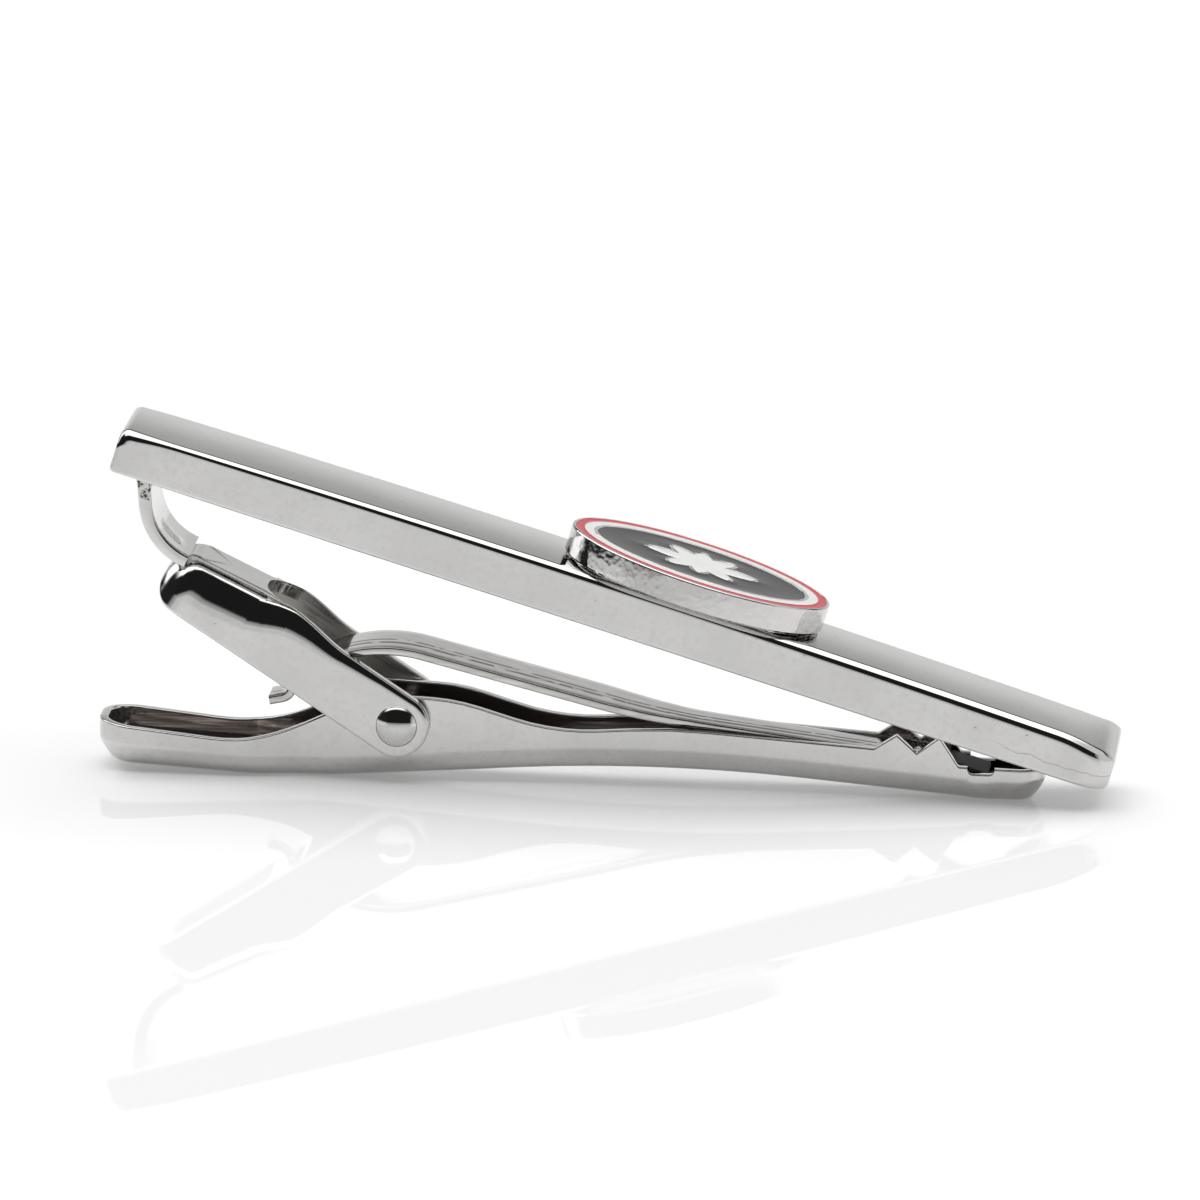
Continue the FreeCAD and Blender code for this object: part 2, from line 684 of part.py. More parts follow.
def make_jaw():
    """Jaw pressed from sheet: a thumb tray, ears on the rivet, and a trough with toothed walls."""
    body = doc.addObject("PartDesign::Body", "clip_jaw")
    past_back = "-(jaw_back + cut_overrun)"
    past_front = "jaw_front + cut_overrun"
    past_top = "ear_wall + 2 * cut_overrun"
    pad(body, outline(body_sketch(body, "jaw_plan", "XY_Plane"), mirrored([
        ("-jaw_back", "tray_width / 2", "tray_end_round"),
        ("-tray_neck_start", "tray_width / 2", "neck_round"),
        ("-tray_neck_end", f"{EAR_WIDTH} / 2", "neck_round"),
        ("ear_front", f"{EAR_WIDTH} / 2", "neck_round"),
        ("neck_station", "nose_width / 2", "neck_round"),
        ("jaw_front", "nose_width / 2", "nose_end_round"),
    ])), "2 * (ear_wall + cut_overrun)")
    pocket(body, outline(body_sketch(body, "jaw_bottom", "XZ_Plane"), [
        (past_back, level("tray_lift")),
        (past_back, f"-({past_top})"),
        (past_front, f"-({past_top})"),
        (past_front, level("0")),
        ("jaw_front - nose_flat", level("0"), "belly_round"),
        ("arch_station", level("arch_height"), "arch_round"),
        ("-belly_front", level("0"), "belly_round"),
        ("-belly_back", level("0"), "belly_round"),
    ]))
    rounded(body, "jaw_bottom_edges", "jaw_bottom_round", lambda middle, normals: (
        is_below(normals) and min(abs(normal.z) for normal in normals) < math.sin(math.radians(20))
    ))
    solid = body.Tip
    top = [
        f"Face{number}" for number, face in enumerate(solid.Shape.Faces, 1)
        if face.BoundBox.ZMin > measure("ear_wall")
    ]
    shell = body.newObject("PartDesign::Thickness", "jaw_shell")
    shell.Base = (solid, top)
    shell.Reversed = True
    bind(shell, {"Value": "jaw_sheet"})
    doc.recompute()
    first_tooth = "teeth_start + tooth_rise_run"
    pocket(body, outline(body_sketch(body, "jaw_rim", "XZ_Plane"), [
        (past_back, level("tray_end_wall")),
        ("-tray_wall_end", level("tray_wall"), "tray_wall_round"),
        ("-ear_back", level("ear_wall"), "ear_round"),
        ("ear_front", level("ear_front_wall"), "ear_round"),
        ("neck_station", level("neck_wall"), "neck_wall_round"),
        ("mid_station", level("mid_wall"), "mid_wall_round"),
        ("teeth_start", level("teeth_wall")),
        (first_tooth, level("first_tooth_wall")),
        (f"{first_tooth} + tooth_fall_run", level("tooth_valley_wall")),
        (TOOTH_2, level("second_tooth_wall")),
        ("nose_start", level("nose_start_wall")),
        (past_front, level("nose_wall")),
        (past_front, past_top),
        (past_back, past_top),
    ]))
    bore(body, "ear_hole", "rivet_radius + pin_clearance")
    notch_floor = level("spring_end_height - spring_sheet - 2 * seat_clearance")
    pocket(body, outline(body_sketch(body, "lug_notch", "XZ_Plane"), [
        ("spring_end - lug_length - seat_clearance", notch_floor),
        ("spring_end + seat_clearance", notch_floor),
        ("spring_end + seat_clearance", past_top),
        ("spring_end - lug_length - seat_clearance", past_top),
    ]))
    place_on_hinge(body)
    return body


def on_arms(back, rise):
    """Return the place, in the jaw's frame, of a point behind the hinge along the bracket's arms."""
    across = f"({rise}) * sin(arm_slope) - ({back}) * cos(arm_slope)"
    up = f"({back}) * sin(arm_slope) + ({rise}) * cos(arm_slope)"
    return across, up


def make_spring():
    """Bowed leaf: its lugs sit in the jaw's notches and its tail hooks through the bracket's bridge."""
    hook_back = "slot_station + hook_length * sin(hook_turn)"
    hook_low = "-(hook_drop + hook_length * cos(hook_turn))"
    path = outline(side_sketch("spring_path"), [
        on_arms(hook_back, hook_low),
        (*on_arms("slot_station", "-hook_drop"), "hook_round"),
        (*on_arms("slot_station", "-tail_drop"), "tail_round"),
        ("-crest_back", level("crest_height"), "crest_round"),
        ("spring_dip_station", level("spring_dip_height"), "spring_dip_round"),
        ("spring_end", level("spring_end_height")),
    ], closed=False)
    bent = strip("spring_strip", path, "spring_sheet", "spring_width")
    plan = doc.addObject("Sketcher::SketchObject", "spring_plan")
    outline(plan, mirrored([
        ("-(bridge_back + cut_overrun)", "tail_width / 2"),
        ("-tail_flare_back", "tail_width / 2", "tail_flare_round"),
        ("-tail_flare_front", "spring_width / 2", "tail_flare_round"),
        ("taper_start", "spring_width / 2", "taper_round"),
        ("taper_end", "spring_nose_width / 2", "taper_round"),
        ("spring_end - lug_length", "spring_nose_width / 2"),
        ("spring_end - lug_length", "nose_width / 2 - lug_inset"),
        ("spring_end + cut_overrun", "nose_width / 2 - lug_inset"),
    ]))
    blank = prism("spring_blank", plan, "2 * crest_height", FreeCAD.Vector(0, 0, 1), True)
    spring = boolean("Common", "leaf_spring", bent, blank)
    place_on_hinge(spring)
    return spring


bar = make_bar()
fills = make_enamel()
bracket = make_bracket()
pieces = [
    bar,
    make_emblem_base(fills),
    *fills,
    make_solder(bar),
    bracket,
    make_braze(bracket),
    make_rivet(),
    make_jaw(),
    make_spring(),
]
doc.recompute()
for item in doc.Objects:
    if "Invalid" in item.State or "Error" in item.State:
        raise RuntimeError(f"{item.Label} is not built: {item.State}")
for piece in pieces:
    if piece.Shape.isNull() or not piece.Shape.isValid() or len(piece.Shape.Solids) != 1:
        raise RuntimeError(f"{piece.Label} is not one valid solid")
os.makedirs("parts", exist_ok=True)
for piece in pieces:
    piece.Shape.exportStep(f"parts/{piece.Label}.step")
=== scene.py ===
from math import acos, ceil, cos, pi, radians, sin, tan

import bpy
import numpy as np
from mathutils import Matrix, Vector


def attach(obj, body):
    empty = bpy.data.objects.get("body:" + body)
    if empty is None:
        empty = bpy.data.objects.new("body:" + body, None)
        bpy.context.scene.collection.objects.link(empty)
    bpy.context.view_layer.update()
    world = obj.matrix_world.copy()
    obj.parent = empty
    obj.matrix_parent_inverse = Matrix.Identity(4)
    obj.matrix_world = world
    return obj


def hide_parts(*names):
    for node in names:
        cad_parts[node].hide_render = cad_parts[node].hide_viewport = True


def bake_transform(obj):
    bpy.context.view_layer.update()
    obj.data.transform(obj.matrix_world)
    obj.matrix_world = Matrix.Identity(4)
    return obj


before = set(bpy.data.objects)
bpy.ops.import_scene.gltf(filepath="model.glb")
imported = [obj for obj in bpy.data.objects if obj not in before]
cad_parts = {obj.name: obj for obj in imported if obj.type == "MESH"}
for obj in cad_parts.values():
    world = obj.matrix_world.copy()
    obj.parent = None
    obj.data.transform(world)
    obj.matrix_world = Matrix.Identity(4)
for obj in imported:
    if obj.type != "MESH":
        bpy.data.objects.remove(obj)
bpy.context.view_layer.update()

# Sizes in millimetres, in the clip's frame: X from the thumb end to the nose, Y across, Z up
MM = 0.001
HINGE = np.array([5.25, 0.0, 3.15])
BAR_SLOPE = radians(16.38)
ARM_SLOPE = radians(32.9)
ARMS_TO_BAR = ARM_SLOPE - BAR_SLOPE
HINGE_TO_BACK = 8.284
SHADING_RING = 0.06  # a ring this far beside a rounded edge keeps the next face flat in shading
TINY = 0.001  # keeps apart points that would fall together

# Front bar, drawn along its back from the foot of the hinge axis
BAR_START, BAR_END = -18.06, 35.72
BAR_WIDTH = 6.35
BAR_MID_THICKNESS, BAR_END_THICKNESS = 2.7, 2.4
BAR_SPACING = 0.15
BAR_SPINE_INSET, BAR_SPINE_HEIGHT = 1.35, 1.0
THUMB_ROUND, NOSE_ROUND, FOOT_ROUND = 0.49, 0.15, 0.25
THUMB_FLAT, NOSE_FLAT = 1.6, 0.4
CROSS_CROWN = 0.0113
NOSE_ROLL_RUN, NOSE_ROLL_DROP = 0.9, 0.3
NOSE_WORN_RUN, NOSE_WORN_DROP = 3.4, 0.7
NOSE_PLAN_RUN, NOSE_PLAN_ROUND = 1.8, 2.6

# Radii of the bar's long edges, what they gain or lose towards the ends, and over which runs
FRONT_EDGE, FRONT_EDGE_GAIN, THUMB_EDGE_GAIN, NOSE_EDGE_GAIN = 0.28, 0.22, 0.34, 0.15
THUMB_EDGE_RUN, NOSE_EDGE_RUN, NOSE_CORNER_RUN = 3.2, 3.4, 1.0
BACK_EDGE, BACK_EDGE_GAIN = 0.16, 0.8
FAR_EDGE, FAR_EDGE_LOSS = 0.55, 0.35
THUMB_EDGE_HEIGHT, EDGE_CHANGE_RUN = 1.4, 0.8
THUMB_SMOOTHING, NOSE_SMOOTHING = 0.05, 1.2

# Emblem on the bar
EMBLEM_AT = 12.35
EMBLEM_HALF = np.array([6.948, 4.548])
EMBLEM_BACK, EMBLEM_TOP = 2.82, 4.27
ENAMEL_DEPTH = 0.35
RED_INSET, WHITE_INSET, LINE_INSET, FIELD_INSET = 0.2, 0.65, 1.15, 1.37
RING_SINK, RING_HOLLOW, FIELD_SINK, FIELD_HOLLOW = 0.004, 0.012, 0.003, 0.02
ROSETTE_HALF = np.array([2.9, 1.95])
PETAL_HALF, PETAL_OUTLINE, OUTLINE_STAND = 0.6, 0.2, 0.005
SOLDER_INSET, SOLDER_BULGE, SOLDER_BLOB = 0.62, 0.3, 0.5
SOLDER_LIFT, SOLDER_OVERLAP, SOLDER_SIDE_GAP = 0.2, 0.02, 0.45

# Hinge bracket, drawn along its arms from the hinge
BRACKET_HALF, BRACKET_SHEET = 2.8, 0.7
BRACKET_REACH, ARM_HALF = 14.3, 1.65
WEB_END_HEIGHT, WEB_FALL = 1.15, radians(7.5)
WEB_FRONT, ARM_TOP_START, ARM_JOINT = 8.0, 4.3, 7.6
NOTCH_REACH, NOTCH_ROUND = 9.5, 1.8
BRACKET_CORNER, BRACKET_END_ROUND, BRACKET_LIP = 1.6, 1.1, 0.12
BRACKET_SPACING = 0.2
CHANNEL_OVERLAP, CHANNEL_SINK, WEB_RING = 0.7, 0.2, 0.03
ARM_TAIL, ARM_STEP, ARM_SINK, ARM_SEAM, ARM_TOP_END = 1.6, 0.01, 0.1, 4.0, 0.2
ARM_SPINE_INSET, ARM_INNER_EDGE, INSIDE_MARGIN = 1.0, 0.09, 0.05

# Upper edge of the bracket's walls: turns in degrees where its three arcs meet, their radii at places
# along the arms, how far each arc rises per radius, and the share of the wall that they may take
WALL_TURNS = (32, 70)
WIDE_ROUNDS = ((-BRACKET_REACH, -12, -8.8, -6.1, -4.3, -1.9, 0), (2.6, 3.3, 3.0, 1.8, 1.15, 0.66, 0.5))
TIGHT_ROUNDS = ((-9.5, -8.6, -ARM_JOINT, -4.3, -1.9), (1.1, 0.6, 0.33, 0.2, 0.15))
CROWN_ROUNDS = ((-9.4, -8.7, -8.2), (0.9, 0.5, 0.15))
WIDE_RISE, TIGHT_RISE, CROWN_RISE, WALL_SHARE = 0.53, 0.41, 0.06, 0.85

# Tongue, braze, bridge and rivet
TONGUE_HALF, TONGUE_REACH, TONGUE_BEND, TONGUE_ROUND = 2.25, 15.7, radians(59), 3.1
TONGUE_OVERLAP, TONGUE_ROOT, TONGUE_DIP = 0.25, 0.7, 0.02
TONGUE_SPACING, TONGUE_EDGE = 0.15, 0.14
DART_HEIGHT, DART_BACK, DART_ACROSS, DART_HALF_WIDTH, DART_HALF_LENGTH = 0.13, 1.4, -0.5, 0.5, 0.7
BRAZE_FILM, BRAZE_SPREAD, BRAZE_FILLET, BRAZE_DEPTH, BRAZE_OVERLAP = 0.025, 0.05, 0.25, 0.4, 0.02
BRIDGE_BACK, BRIDGE_FRONT, BRIDGE_OVERLAP = 6.85, 4.6, 0.1
SLOT_BACK, SLOT_FRONT, SLOT_HALF = 5.83, 4.98, 1.3
RIVET_RADIUS, RIVET_HEAD, RIVET_HEAD_HEIGHT = 0.65, 1.08, 0.5
RIVET_DOME, RIVET_RIM = 1.03, 0.1
RIVET_GROOVE, RIVET_LEDGE = (1.04, 0.02), ((1.06, 0.05), (1.08, 0.03))

# Jaw and spring, drawn from the hinge; heights are over the floor
JAW_SHEET, JAW_BOTTOM_ROUND = 0.45, 1.1
JAW_RADII, JAW_TURNS = (0.6, 3.0, 0.62), (24, 42)
JAW_BACK, JAW_FRONT, JAW_OVERRUN = 15.65, 33.4, 1.0
TRAY_HALF, EAR_HALF, NOSE_HALF = 2.45, 1.95, 1.85
JAW_SPACING, JAW_LIP, JAW_RING, JAW_SWELL = 0.3, 0.07, 0.04, 1.7
JAW_SPINE_BACK, JAW_SPINE_FRONT = 2.4, 1.8
# Past this place the jaw's inside and the spring's end are painted dark, as shade under the bar
DARK_NOSE = 28.4
SPRING_SHEET, SPRING_EDGE, SPRING_SPACING = 0.45, 0.1, 0.2
SPRING_HOOK, SPRING_TAIL, SPRING_NECK = 0.85, -2.35, -0.55
SLOT_STATION = 5.63


def turned(points, slope, origin):
    """Turn drawn points (along, across, up) down by a slope about Y and set them at an origin."""
    along, across, up = points[..., 0], points[..., 1], points[..., 2]
    x = along * cos(slope) + up * sin(slope)
    z = up * cos(slope) - along * sin(slope)
    return np.stack([x, across, z], axis=-1) + origin


def on_bar(points):
    """Set points that are drawn along the bar's back."""
    foot = HINGE + HINGE_TO_BACK * np.array([sin(BAR_SLOPE), 0, cos(BAR_SLOPE)])
    return turned(points, BAR_SLOPE, foot)


def on_arms(points):
    """Set points that are drawn along the bracket's arms."""
    return turned(points, ARM_SLOPE, HINGE)


def on_floor(points):
    """Set points that are drawn from the hinge with heights over the floor."""
    return points + np.array([HINGE[0], 0, 0])


def unit(vectors):
    """Vectors divided by their lengths."""
    return vectors / np.linalg.norm(vectors, axis=-1, keepdims=True)


def ramp(distance, run):
    """1 at a place, falling evenly to 0 one run away from it."""
    return np.clip(1 - distance / run, 0, 1)


def eased(share):
    """Smooth step of a share: share^2 * (3 - 2 * share)."""
    return share ** 2 * (3 - 2 * share)


def rounded_path(corners, step=radians(5)):
    """Polyline through corners (x, y) or (x, y, radius): a radius becomes an arc tangent to both runs."""
    spots = np.array([corner[:2] for corner in corners], float)
    pieces = [spots[:1]]
    for i in range(1, len(corners) - 1):
        if len(corners[i]) < 3:
            pieces.append(spots[i:i + 1])
            continue
        radius = corners[i][2]
        back, ahead = unit(spots[i - 1] - spots[i]), unit(spots[i + 1] - spots[i])
        half = acos(np.clip(back @ ahead, -1, 1)) / 2
        centre = spots[i] + unit(back + ahead) * radius / sin(half)
        arm = spots[i] + back * radius / tan(half) - centre
        sweep = pi - 2 * half
        turn = np.linspace(0, sweep, max(3, ceil(sweep / step) + 1))[:, None]
        turn = turn * -np.sign(back[0] * ahead[1] - back[1] * ahead[0])
        square = np.array([-arm[1], arm[0]])
        pieces.append(centre + arm * np.cos(turn) + square * np.sin(turn))
    pieces.append(spots[-1:])
    return np.concatenate(pieces)


def measured(path):
    """Distance along a polyline of each of its points."""
    return np.concatenate([[0], np.cumsum(np.linalg.norm(np.diff(path, axis=0), axis=1))])


def filled(path, spacing, stops=()):
    """Points of a polyline: its own, others at an even spacing, and one at each further distance."""
    reach = measured(path)
    even = np.linspace(0, reach[-1], max(2, ceil(reach[-1] / spacing)))
    places = np.unique(np.round(np.concatenate([reach, even, np.asarray(stops, float)]), 5))
    places = places[(places >= 0) & (places <= reach[-1])]
    return np.stack([np.interp(places, reach, path[:, i]) for i in range(2)], axis=1)


def left_normals(path, closed=False):
    """Unit normals to the left of a polyline, from the mean direction of the runs at each point."""
    if closed:
        runs = unit(np.roll(path, -1, axis=0) - path)
        mean = unit(runs + np.roll(runs, 1, axis=0))
    else:
        runs = unit(np.diff(path, axis=0))
        mean = unit(np.concatenate([runs[:1], runs]) + np.concatenate([runs, runs[-1:]]))
    return np.stack([-mean[:, 1], mean[:, 0]], axis=1)


def quarter(count):
    """Sines and cosines of a quarter turn, to round an edge."""
    angle = np.linspace(0, pi / 2, count)
    return np.sin(angle), np.cos(angle)


def full_turn(count):
    """Angles round a full turn, without its end."""
    return np.linspace(0, 2 * pi, count, endpoint=False)


def edge_curve(radii, turns, count=7):
    """Arcs that follow each other from a face to its edge: distance across, and depth under the edge."""
    turns = np.radians([0, *turns, 90])
    tilt = np.unique(np.concatenate([np.linspace(*ends, count) for ends in zip(turns, turns[1:])]))
    across = rise = 0.0
    for radius, start, end in zip(radii, turns, turns[1:]):
        reached = np.clip(tilt, start, end)
        across = across + radius * (cos(start) - np.cos(reached))
        rise = rise + radius * (np.sin(reached) - sin(start))
    return across, rise[:, -1:] - rise


def ripple(x, y, seed):
    """Smooth, repeatable unevenness from -1 to 1: a sum of crossed sine waves."""
    waves = np.sin(1.7 * x + seed) + np.sin(2.3 * y - 1.3 * seed) + np.sin(3.1 * x + 2.9 * y + 2 * seed)
    return waves / 3


def grid_faces(rows, columns, wrap_rows, wrap_columns):
    """Triangles that join the neighbours of a grid of points, round the ends where it wraps."""
    i, j = np.meshgrid(
        np.arange(rows if wrap_rows else rows - 1), np.arange(columns if wrap_columns else columns - 1),
        indexing="ij",
    )
    i, j = i.ravel(), j.ravel()
    below, right = (i + 1) % rows, (j + 1) % columns
    a, b, c, d = i * columns + j, below * columns + j, below * columns + right, i * columns + right
    return np.concatenate([np.stack([a, b, c], 1), np.stack([a, c, d], 1)])


def closed_shell(grid, wrap_rows=False, wrap_columns=True, inside=0.0):
    """Points, triangles and inside marks of one closed surface: doubles merged, folds dropped, outwards."""
    rows, columns = grid.shape[:2]
    points = grid.reshape(-1, 3)
    marks = np.broadcast_to(inside, (rows, columns)).reshape(-1)
    faces = grid_faces(rows, columns, wrap_rows, wrap_columns)
    _, first, merged = np.unique(np.round(points, 5), axis=0, return_index=True, return_inverse=True)
    points, marks, faces = points[first], marks[first], merged.reshape(-1)[faces]
    distinct = (faces[:, 0] != faces[:, 1]) & (faces[:, 1] != faces[:, 2]) & (faces[:, 2] != faces[:, 0])
    faces = faces[distinct]
    _, inverse, count = np.unique(np.sort(faces, 1), axis=0, return_inverse=True, return_counts=True)
    faces = faces[count[inverse.reshape(-1)] == 1]
    corners = points[faces]
    volume = np.einsum("ij,ij->i", corners[:, 0], np.cross(corners[:, 1], corners[:, 2])).sum()
    return points, faces if volume > 0 else faces[:, ::-1], marks


def capped(grid):
    """A tube of rings, with both ends drawn in to their middles."""
    first = np.broadcast_to(grid[:1].mean(axis=1, keepdims=True), grid[:1].shape)
    last = np.broadcast_to(grid[-1:].mean(axis=1, keepdims=True), grid[-1:].shape)
    return np.concatenate([first, grid, last])


def make_piece(name, shells, node, material, body="front", crease=32):
    """Make one object of closed shells that stands for a CAD node and rides on a body, if one is given."""
    points, faces, marks, start = [], [], [], 0
    for shell_points, shell_faces, shell_marks in shells:
        points.append(shell_points)
        faces.append(shell_faces + start)
        marks.append(shell_marks)
        start += len(shell_points)
    points = np.concatenate(points) * MM
    faces = np.concatenate(faces)
    mesh = bpy.data.meshes.new(name)
    mesh.vertices.add(len(points))
    mesh.vertices.foreach_set("co", points.astype(np.float32).ravel())
    mesh.loops.add(3 * len(faces))
    mesh.loops.foreach_set("vertex_index", faces.astype(np.int32).ravel())
    mesh.polygons.add(len(faces))
    mesh.polygons.foreach_set("loop_start", np.arange(0, 3 * len(faces), 3, dtype=np.int32))
    mesh.update()
    inside = mesh.attributes.new("inside", "FLOAT", "POINT")
    inside.data.foreach_set("value", np.concatenate(marks).astype(np.float32))
    mesh.validate()
    mesh.shade_smooth()
    mesh.set_sharp_from_angle(angle=radians(crease))
    piece = bpy.data.objects.new(name, mesh)
    bpy.context.scene.collection.objects.link(piece)
    piece.data.materials.append(material)
    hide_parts(node)
    if body:
        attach(piece, body)
    return piece


# Materials

class Field:
    """A value that varies over a surface: its arithmetic adds Math nodes to the material."""

    def __init__(self, finish, socket):
        self.finish, self.socket = finish, socket

    def _sum(self, operation, first, second):
        return self.finish.node("ShaderNodeMath", {"operation": operation}, {0: first, 1: second})

    def __add__(self, other):
        return self._sum("ADD", self, other)

    def __radd__(self, other):
        return self._sum("ADD", other, self)

    def __sub__(self, other):
        return self._sum("SUBTRACT", self, other)

    def __rsub__(self, other):
        return self._sum("SUBTRACT", other, self)

    def __mul__(self, other):
        return self._sum("MULTIPLY", self, other)

    def __rmul__(self, other):
        return self._sum("MULTIPLY", other, self)

    def __abs__(self):
        return self.finish.node("ShaderNodeMath", {"operation": "ABSOLUTE"}, {0: self})


class Finish:
    """The nodes of a material or a world under construction."""

    def __init__(self, owner):
        owner.use_nodes = True
        self.owner, self.tree = owner, owner.node_tree
        shaders = ("BSDF_PRINCIPLED", "BACKGROUND")
        self.shader = next(node for node in self.tree.nodes if node.type in shaders)

    def node(self, kind, settings=None, inputs=None, output=0):
        """Add a node: its settings first, then the values or links of its sockets."""
        made = self.tree.nodes.new(kind)
        for key, value in (settings or {}).items():
            setattr(made, key, value)
        for key, value in (inputs or {}).items():
            self.feed(made.inputs[key], value)
        return Field(self, made.outputs[output])

    def feed(self, socket, value):
        """Link a field to a socket, or set the socket to a plain value."""
        if isinstance(value, Field):
            self.tree.links.new(value.socket, socket)
        else:
            socket.default_value = value

    def place(self):
        """Object coordinates."""
        return self.node("ShaderNodeTexCoord", output="Object")

    def axes(self, vector):
        """The X, Y and Z of a vector as three fields."""
        split = self.node("ShaderNodeSeparateXYZ", inputs={0: vector})
        return [Field(self, output) for output in split.socket.node.outputs]

    def grey(self, level):
        """A colour with the same level in red, green and blue."""
        return self.node("ShaderNodeCombineColor", inputs={"Red": level, "Green": level, "Blue": level})

    def mark(self):
        """The piece's own inside mark: 0 outside, 1 inside and 2 where shade is painted in at the nose."""
        return self.node("ShaderNodeAttribute", {"attribute_name": "inside"}, output="Fac")

    def cloud(self, size_mm, detail, stretch=(1, 1, 1), slope=0.0, roughness=0.5):
        """Noise from 0 to 1 of a feature size, stretched along axes that are turned by a slope about Y."""
        vector = self.node("ShaderNodeMapping", {"vector_type": "TEXTURE"}, {
            "Vector": self.place(), "Rotation": (0, slope, 0), "Scale": stretch,
        })
        return self.node("ShaderNodeTexNoise", {"noise_dimensions": "3D"}, {
            "Vector": vector, "Scale": 1 / (size_mm * MM), "Detail": detail, "Roughness": roughness,
        })

    def step(self, value, low, high):
        """0 below one value and 1 above another, with a soft rise between."""
        return self.node("ShaderNodeMapRange", {"interpolation_type": "SMOOTHSTEP"}, {
            "Value": value, "From Min": low, "From Max": high, "To Min": 0.0, "To Max": 1.0,
        })

    def blend(self, factor, first, second):
        """Mix two colours by a field."""
        return self.node("ShaderNodeMix", {"data_type": "RGBA"}, {
            "Factor": factor, "A": (*first, 1.0) if isinstance(first, tuple) else first,
            "B": (*second, 1.0) if isinstance(second, tuple) else second,
        }, output="Result")

    def relief(self, height, depth_mm, normal=None):
        """A bump of a height field that is so deep, on top of another bump if one is given."""
        inputs = {"Height": height, "Distance": depth_mm * MM, "Strength": 1.0}
        if normal:
            inputs["Normal"] = normal
        return self.node("ShaderNodeBump", inputs=inputs, output="Normal")

    def surface(self, **inputs):
        """Set the shader's sockets and return the material."""
        for key, value in inputs.items():
            self.feed(self.shader.inputs[key.replace("_", " ")], value)
        return self.owner


def new_finish(name):
    """A finish for a new material."""
    return Finish(bpy.data.materials.new(name))


PLATE_TINT, PLATE_SHADE, PLATE_DUST = (0.655, 0.65, 0.64), (0.6, 0.595, 0.585), (0.55, 0.54, 0.53)
# Colours of pits, which also paint shade in the jaw's nose; of a painted reflection line on the bar; and of
# painted shade on inner faces
PIT_AND_PAINTED_SHADE_COLOUR, PAINTED_REFLECTION_COLOUR, INSIDE_PAINTED_SHADE = (0.05, 0.045, 0.04), (0.2, 0.18, 0.17), (0.3, 0.27, 0.25)
STEEL_LIGHT, STEEL_DARK = (0.64, 0.63, 0.61), (0.5, 0.49, 0.47)
# The second colour is painted shade, for the spring's nose end
ROLL_MARK_COLOUR, NOSE_PAINTED_SHADE = (0.06, 0.055, 0.05), (0.03, 0.028, 0.026)
# height and waver of the painted reflection line on the bar
REFLECTION_LINE_HEIGHT, REFLECTION_LINE_WAVER = 0.3 * MM, 0.9 * MM
ROLL_MARKS = ((-0.85 * MM, 0.012, 0.24 * MM), (-0.2 * MM, 0.008, 0.16 * MM))


def nose_reflection_line(finish):
    """A faint wavering dark line low on the bar's near side at the nose end, a painted reflection of a dark
    edge nearby: 1 on it and 0 elsewhere.
    """
    foot = on_bar(np.zeros(3)) * MM
    x, y, z = finish.axes(finish.place())
    x, z = x - foot[0], z - foot[2]
    along = x * cos(BAR_SLOPE) - z * sin(BAR_SLOPE)
    up = x * sin(BAR_SLOPE) + z * cos(BAR_SLOPE)
    waver = finish.cloud(1.6, detail=2.0, stretch=(1, 30, 30)) * REFLECTION_LINE_WAVER
    off = abs(up - waver - REFLECTION_LINE_HEIGHT)
    near = finish.step(0 - y, 1.6 * MM, 1.9 * MM) * finish.step(along, 29 * MM, 30.5 * MM)
    return near * (1 - finish.step(off, 0.012 * MM, 0.04 * MM))


def polished(name, haze, wave_um, wave_mm, stretch, slope=0.0, inside=INSIDE_PAINTED_SHADE, drawn=1.0,
             peel_um=0.25, dull=0.03, matt=0.0, with_reflection_line=False):
    """Bright plating: cloudy tint, dust, polishing lines, slow waves, fine peel and rare pits.

    Where the piece is marked inside, its streaks take the inside colour, which is painted shade in the jaw
    and painted reflected light in the bracket, and it is drawn, dull and matt; where marked 2 it is painted
    dark as shade. Where asked, a painted reflection of a dark edge runs low on the bar's nose end.
    """
    finish = new_finish(name)
    cloud = finish.cloud(4.0, detail=4.0)
    lines = finish.cloud(0.12, detail=2.0, stretch=stretch, slope=slope)
    pits = finish.step(finish.cloud(0.3, detail=0.0), 0.9, 0.915)
    dust = finish.step(finish.cloud(0.3, detail=4.0), 0.45, 0.75)
    within = finish.mark()
    colour = finish.blend(finish.step(cloud, 0.3, 0.7), PLATE_SHADE, PLATE_TINT)
    colour = finish.blend(pits * 0.8, colour, PIT_AND_PAINTED_SHADE_COLOUR)
    colour = finish.blend(0.5 * dust, colour, PLATE_DUST)
    # inner faces take streaks of the inside colour: painted shade in the jaw, painted reflected light in the
    # bracket
    colour = finish.blend(within * finish.step(lines, 0.2, 0.65), colour, inside)
    # painted shade: the inner faces in the jaw's nose go dark
    colour = finish.blend(finish.step(within, 1.2, 1.8), colour, PIT_AND_PAINTED_SHADE_COLOUR)
    # painted reflection: a faint wavering dark line low on the bar's nose end
    if with_reflection_line:
        colour = finish.blend(0.45 * nose_reflection_line(finish), colour, PAINTED_REFLECTION_COLOUR)
    line_haze = 0.035 * finish.step(lines, 0.45, 0.75)
    cloud_haze = 0.03 * finish.step(cloud, 0.5, 0.8)
    waves = finish.relief(finish.cloud(wave_mm, detail=1.0) * (1 + 3 * within), depth_mm=wave_um * MM)
    peel = finish.relief(finish.cloud(0.35, detail=2.0), depth_mm=peel_um * MM, normal=waves)
    return finish.surface(
        Base_Color=colour, Roughness=haze + line_haze + cloud_haze + dull * within,
        Metallic=1 - matt * within * finish.step(lines, 0.3, 0.6),
        Normal=finish.relief(lines * (1 + drawn * within) - pits, depth_mm=0.00012, normal=peel),
    )


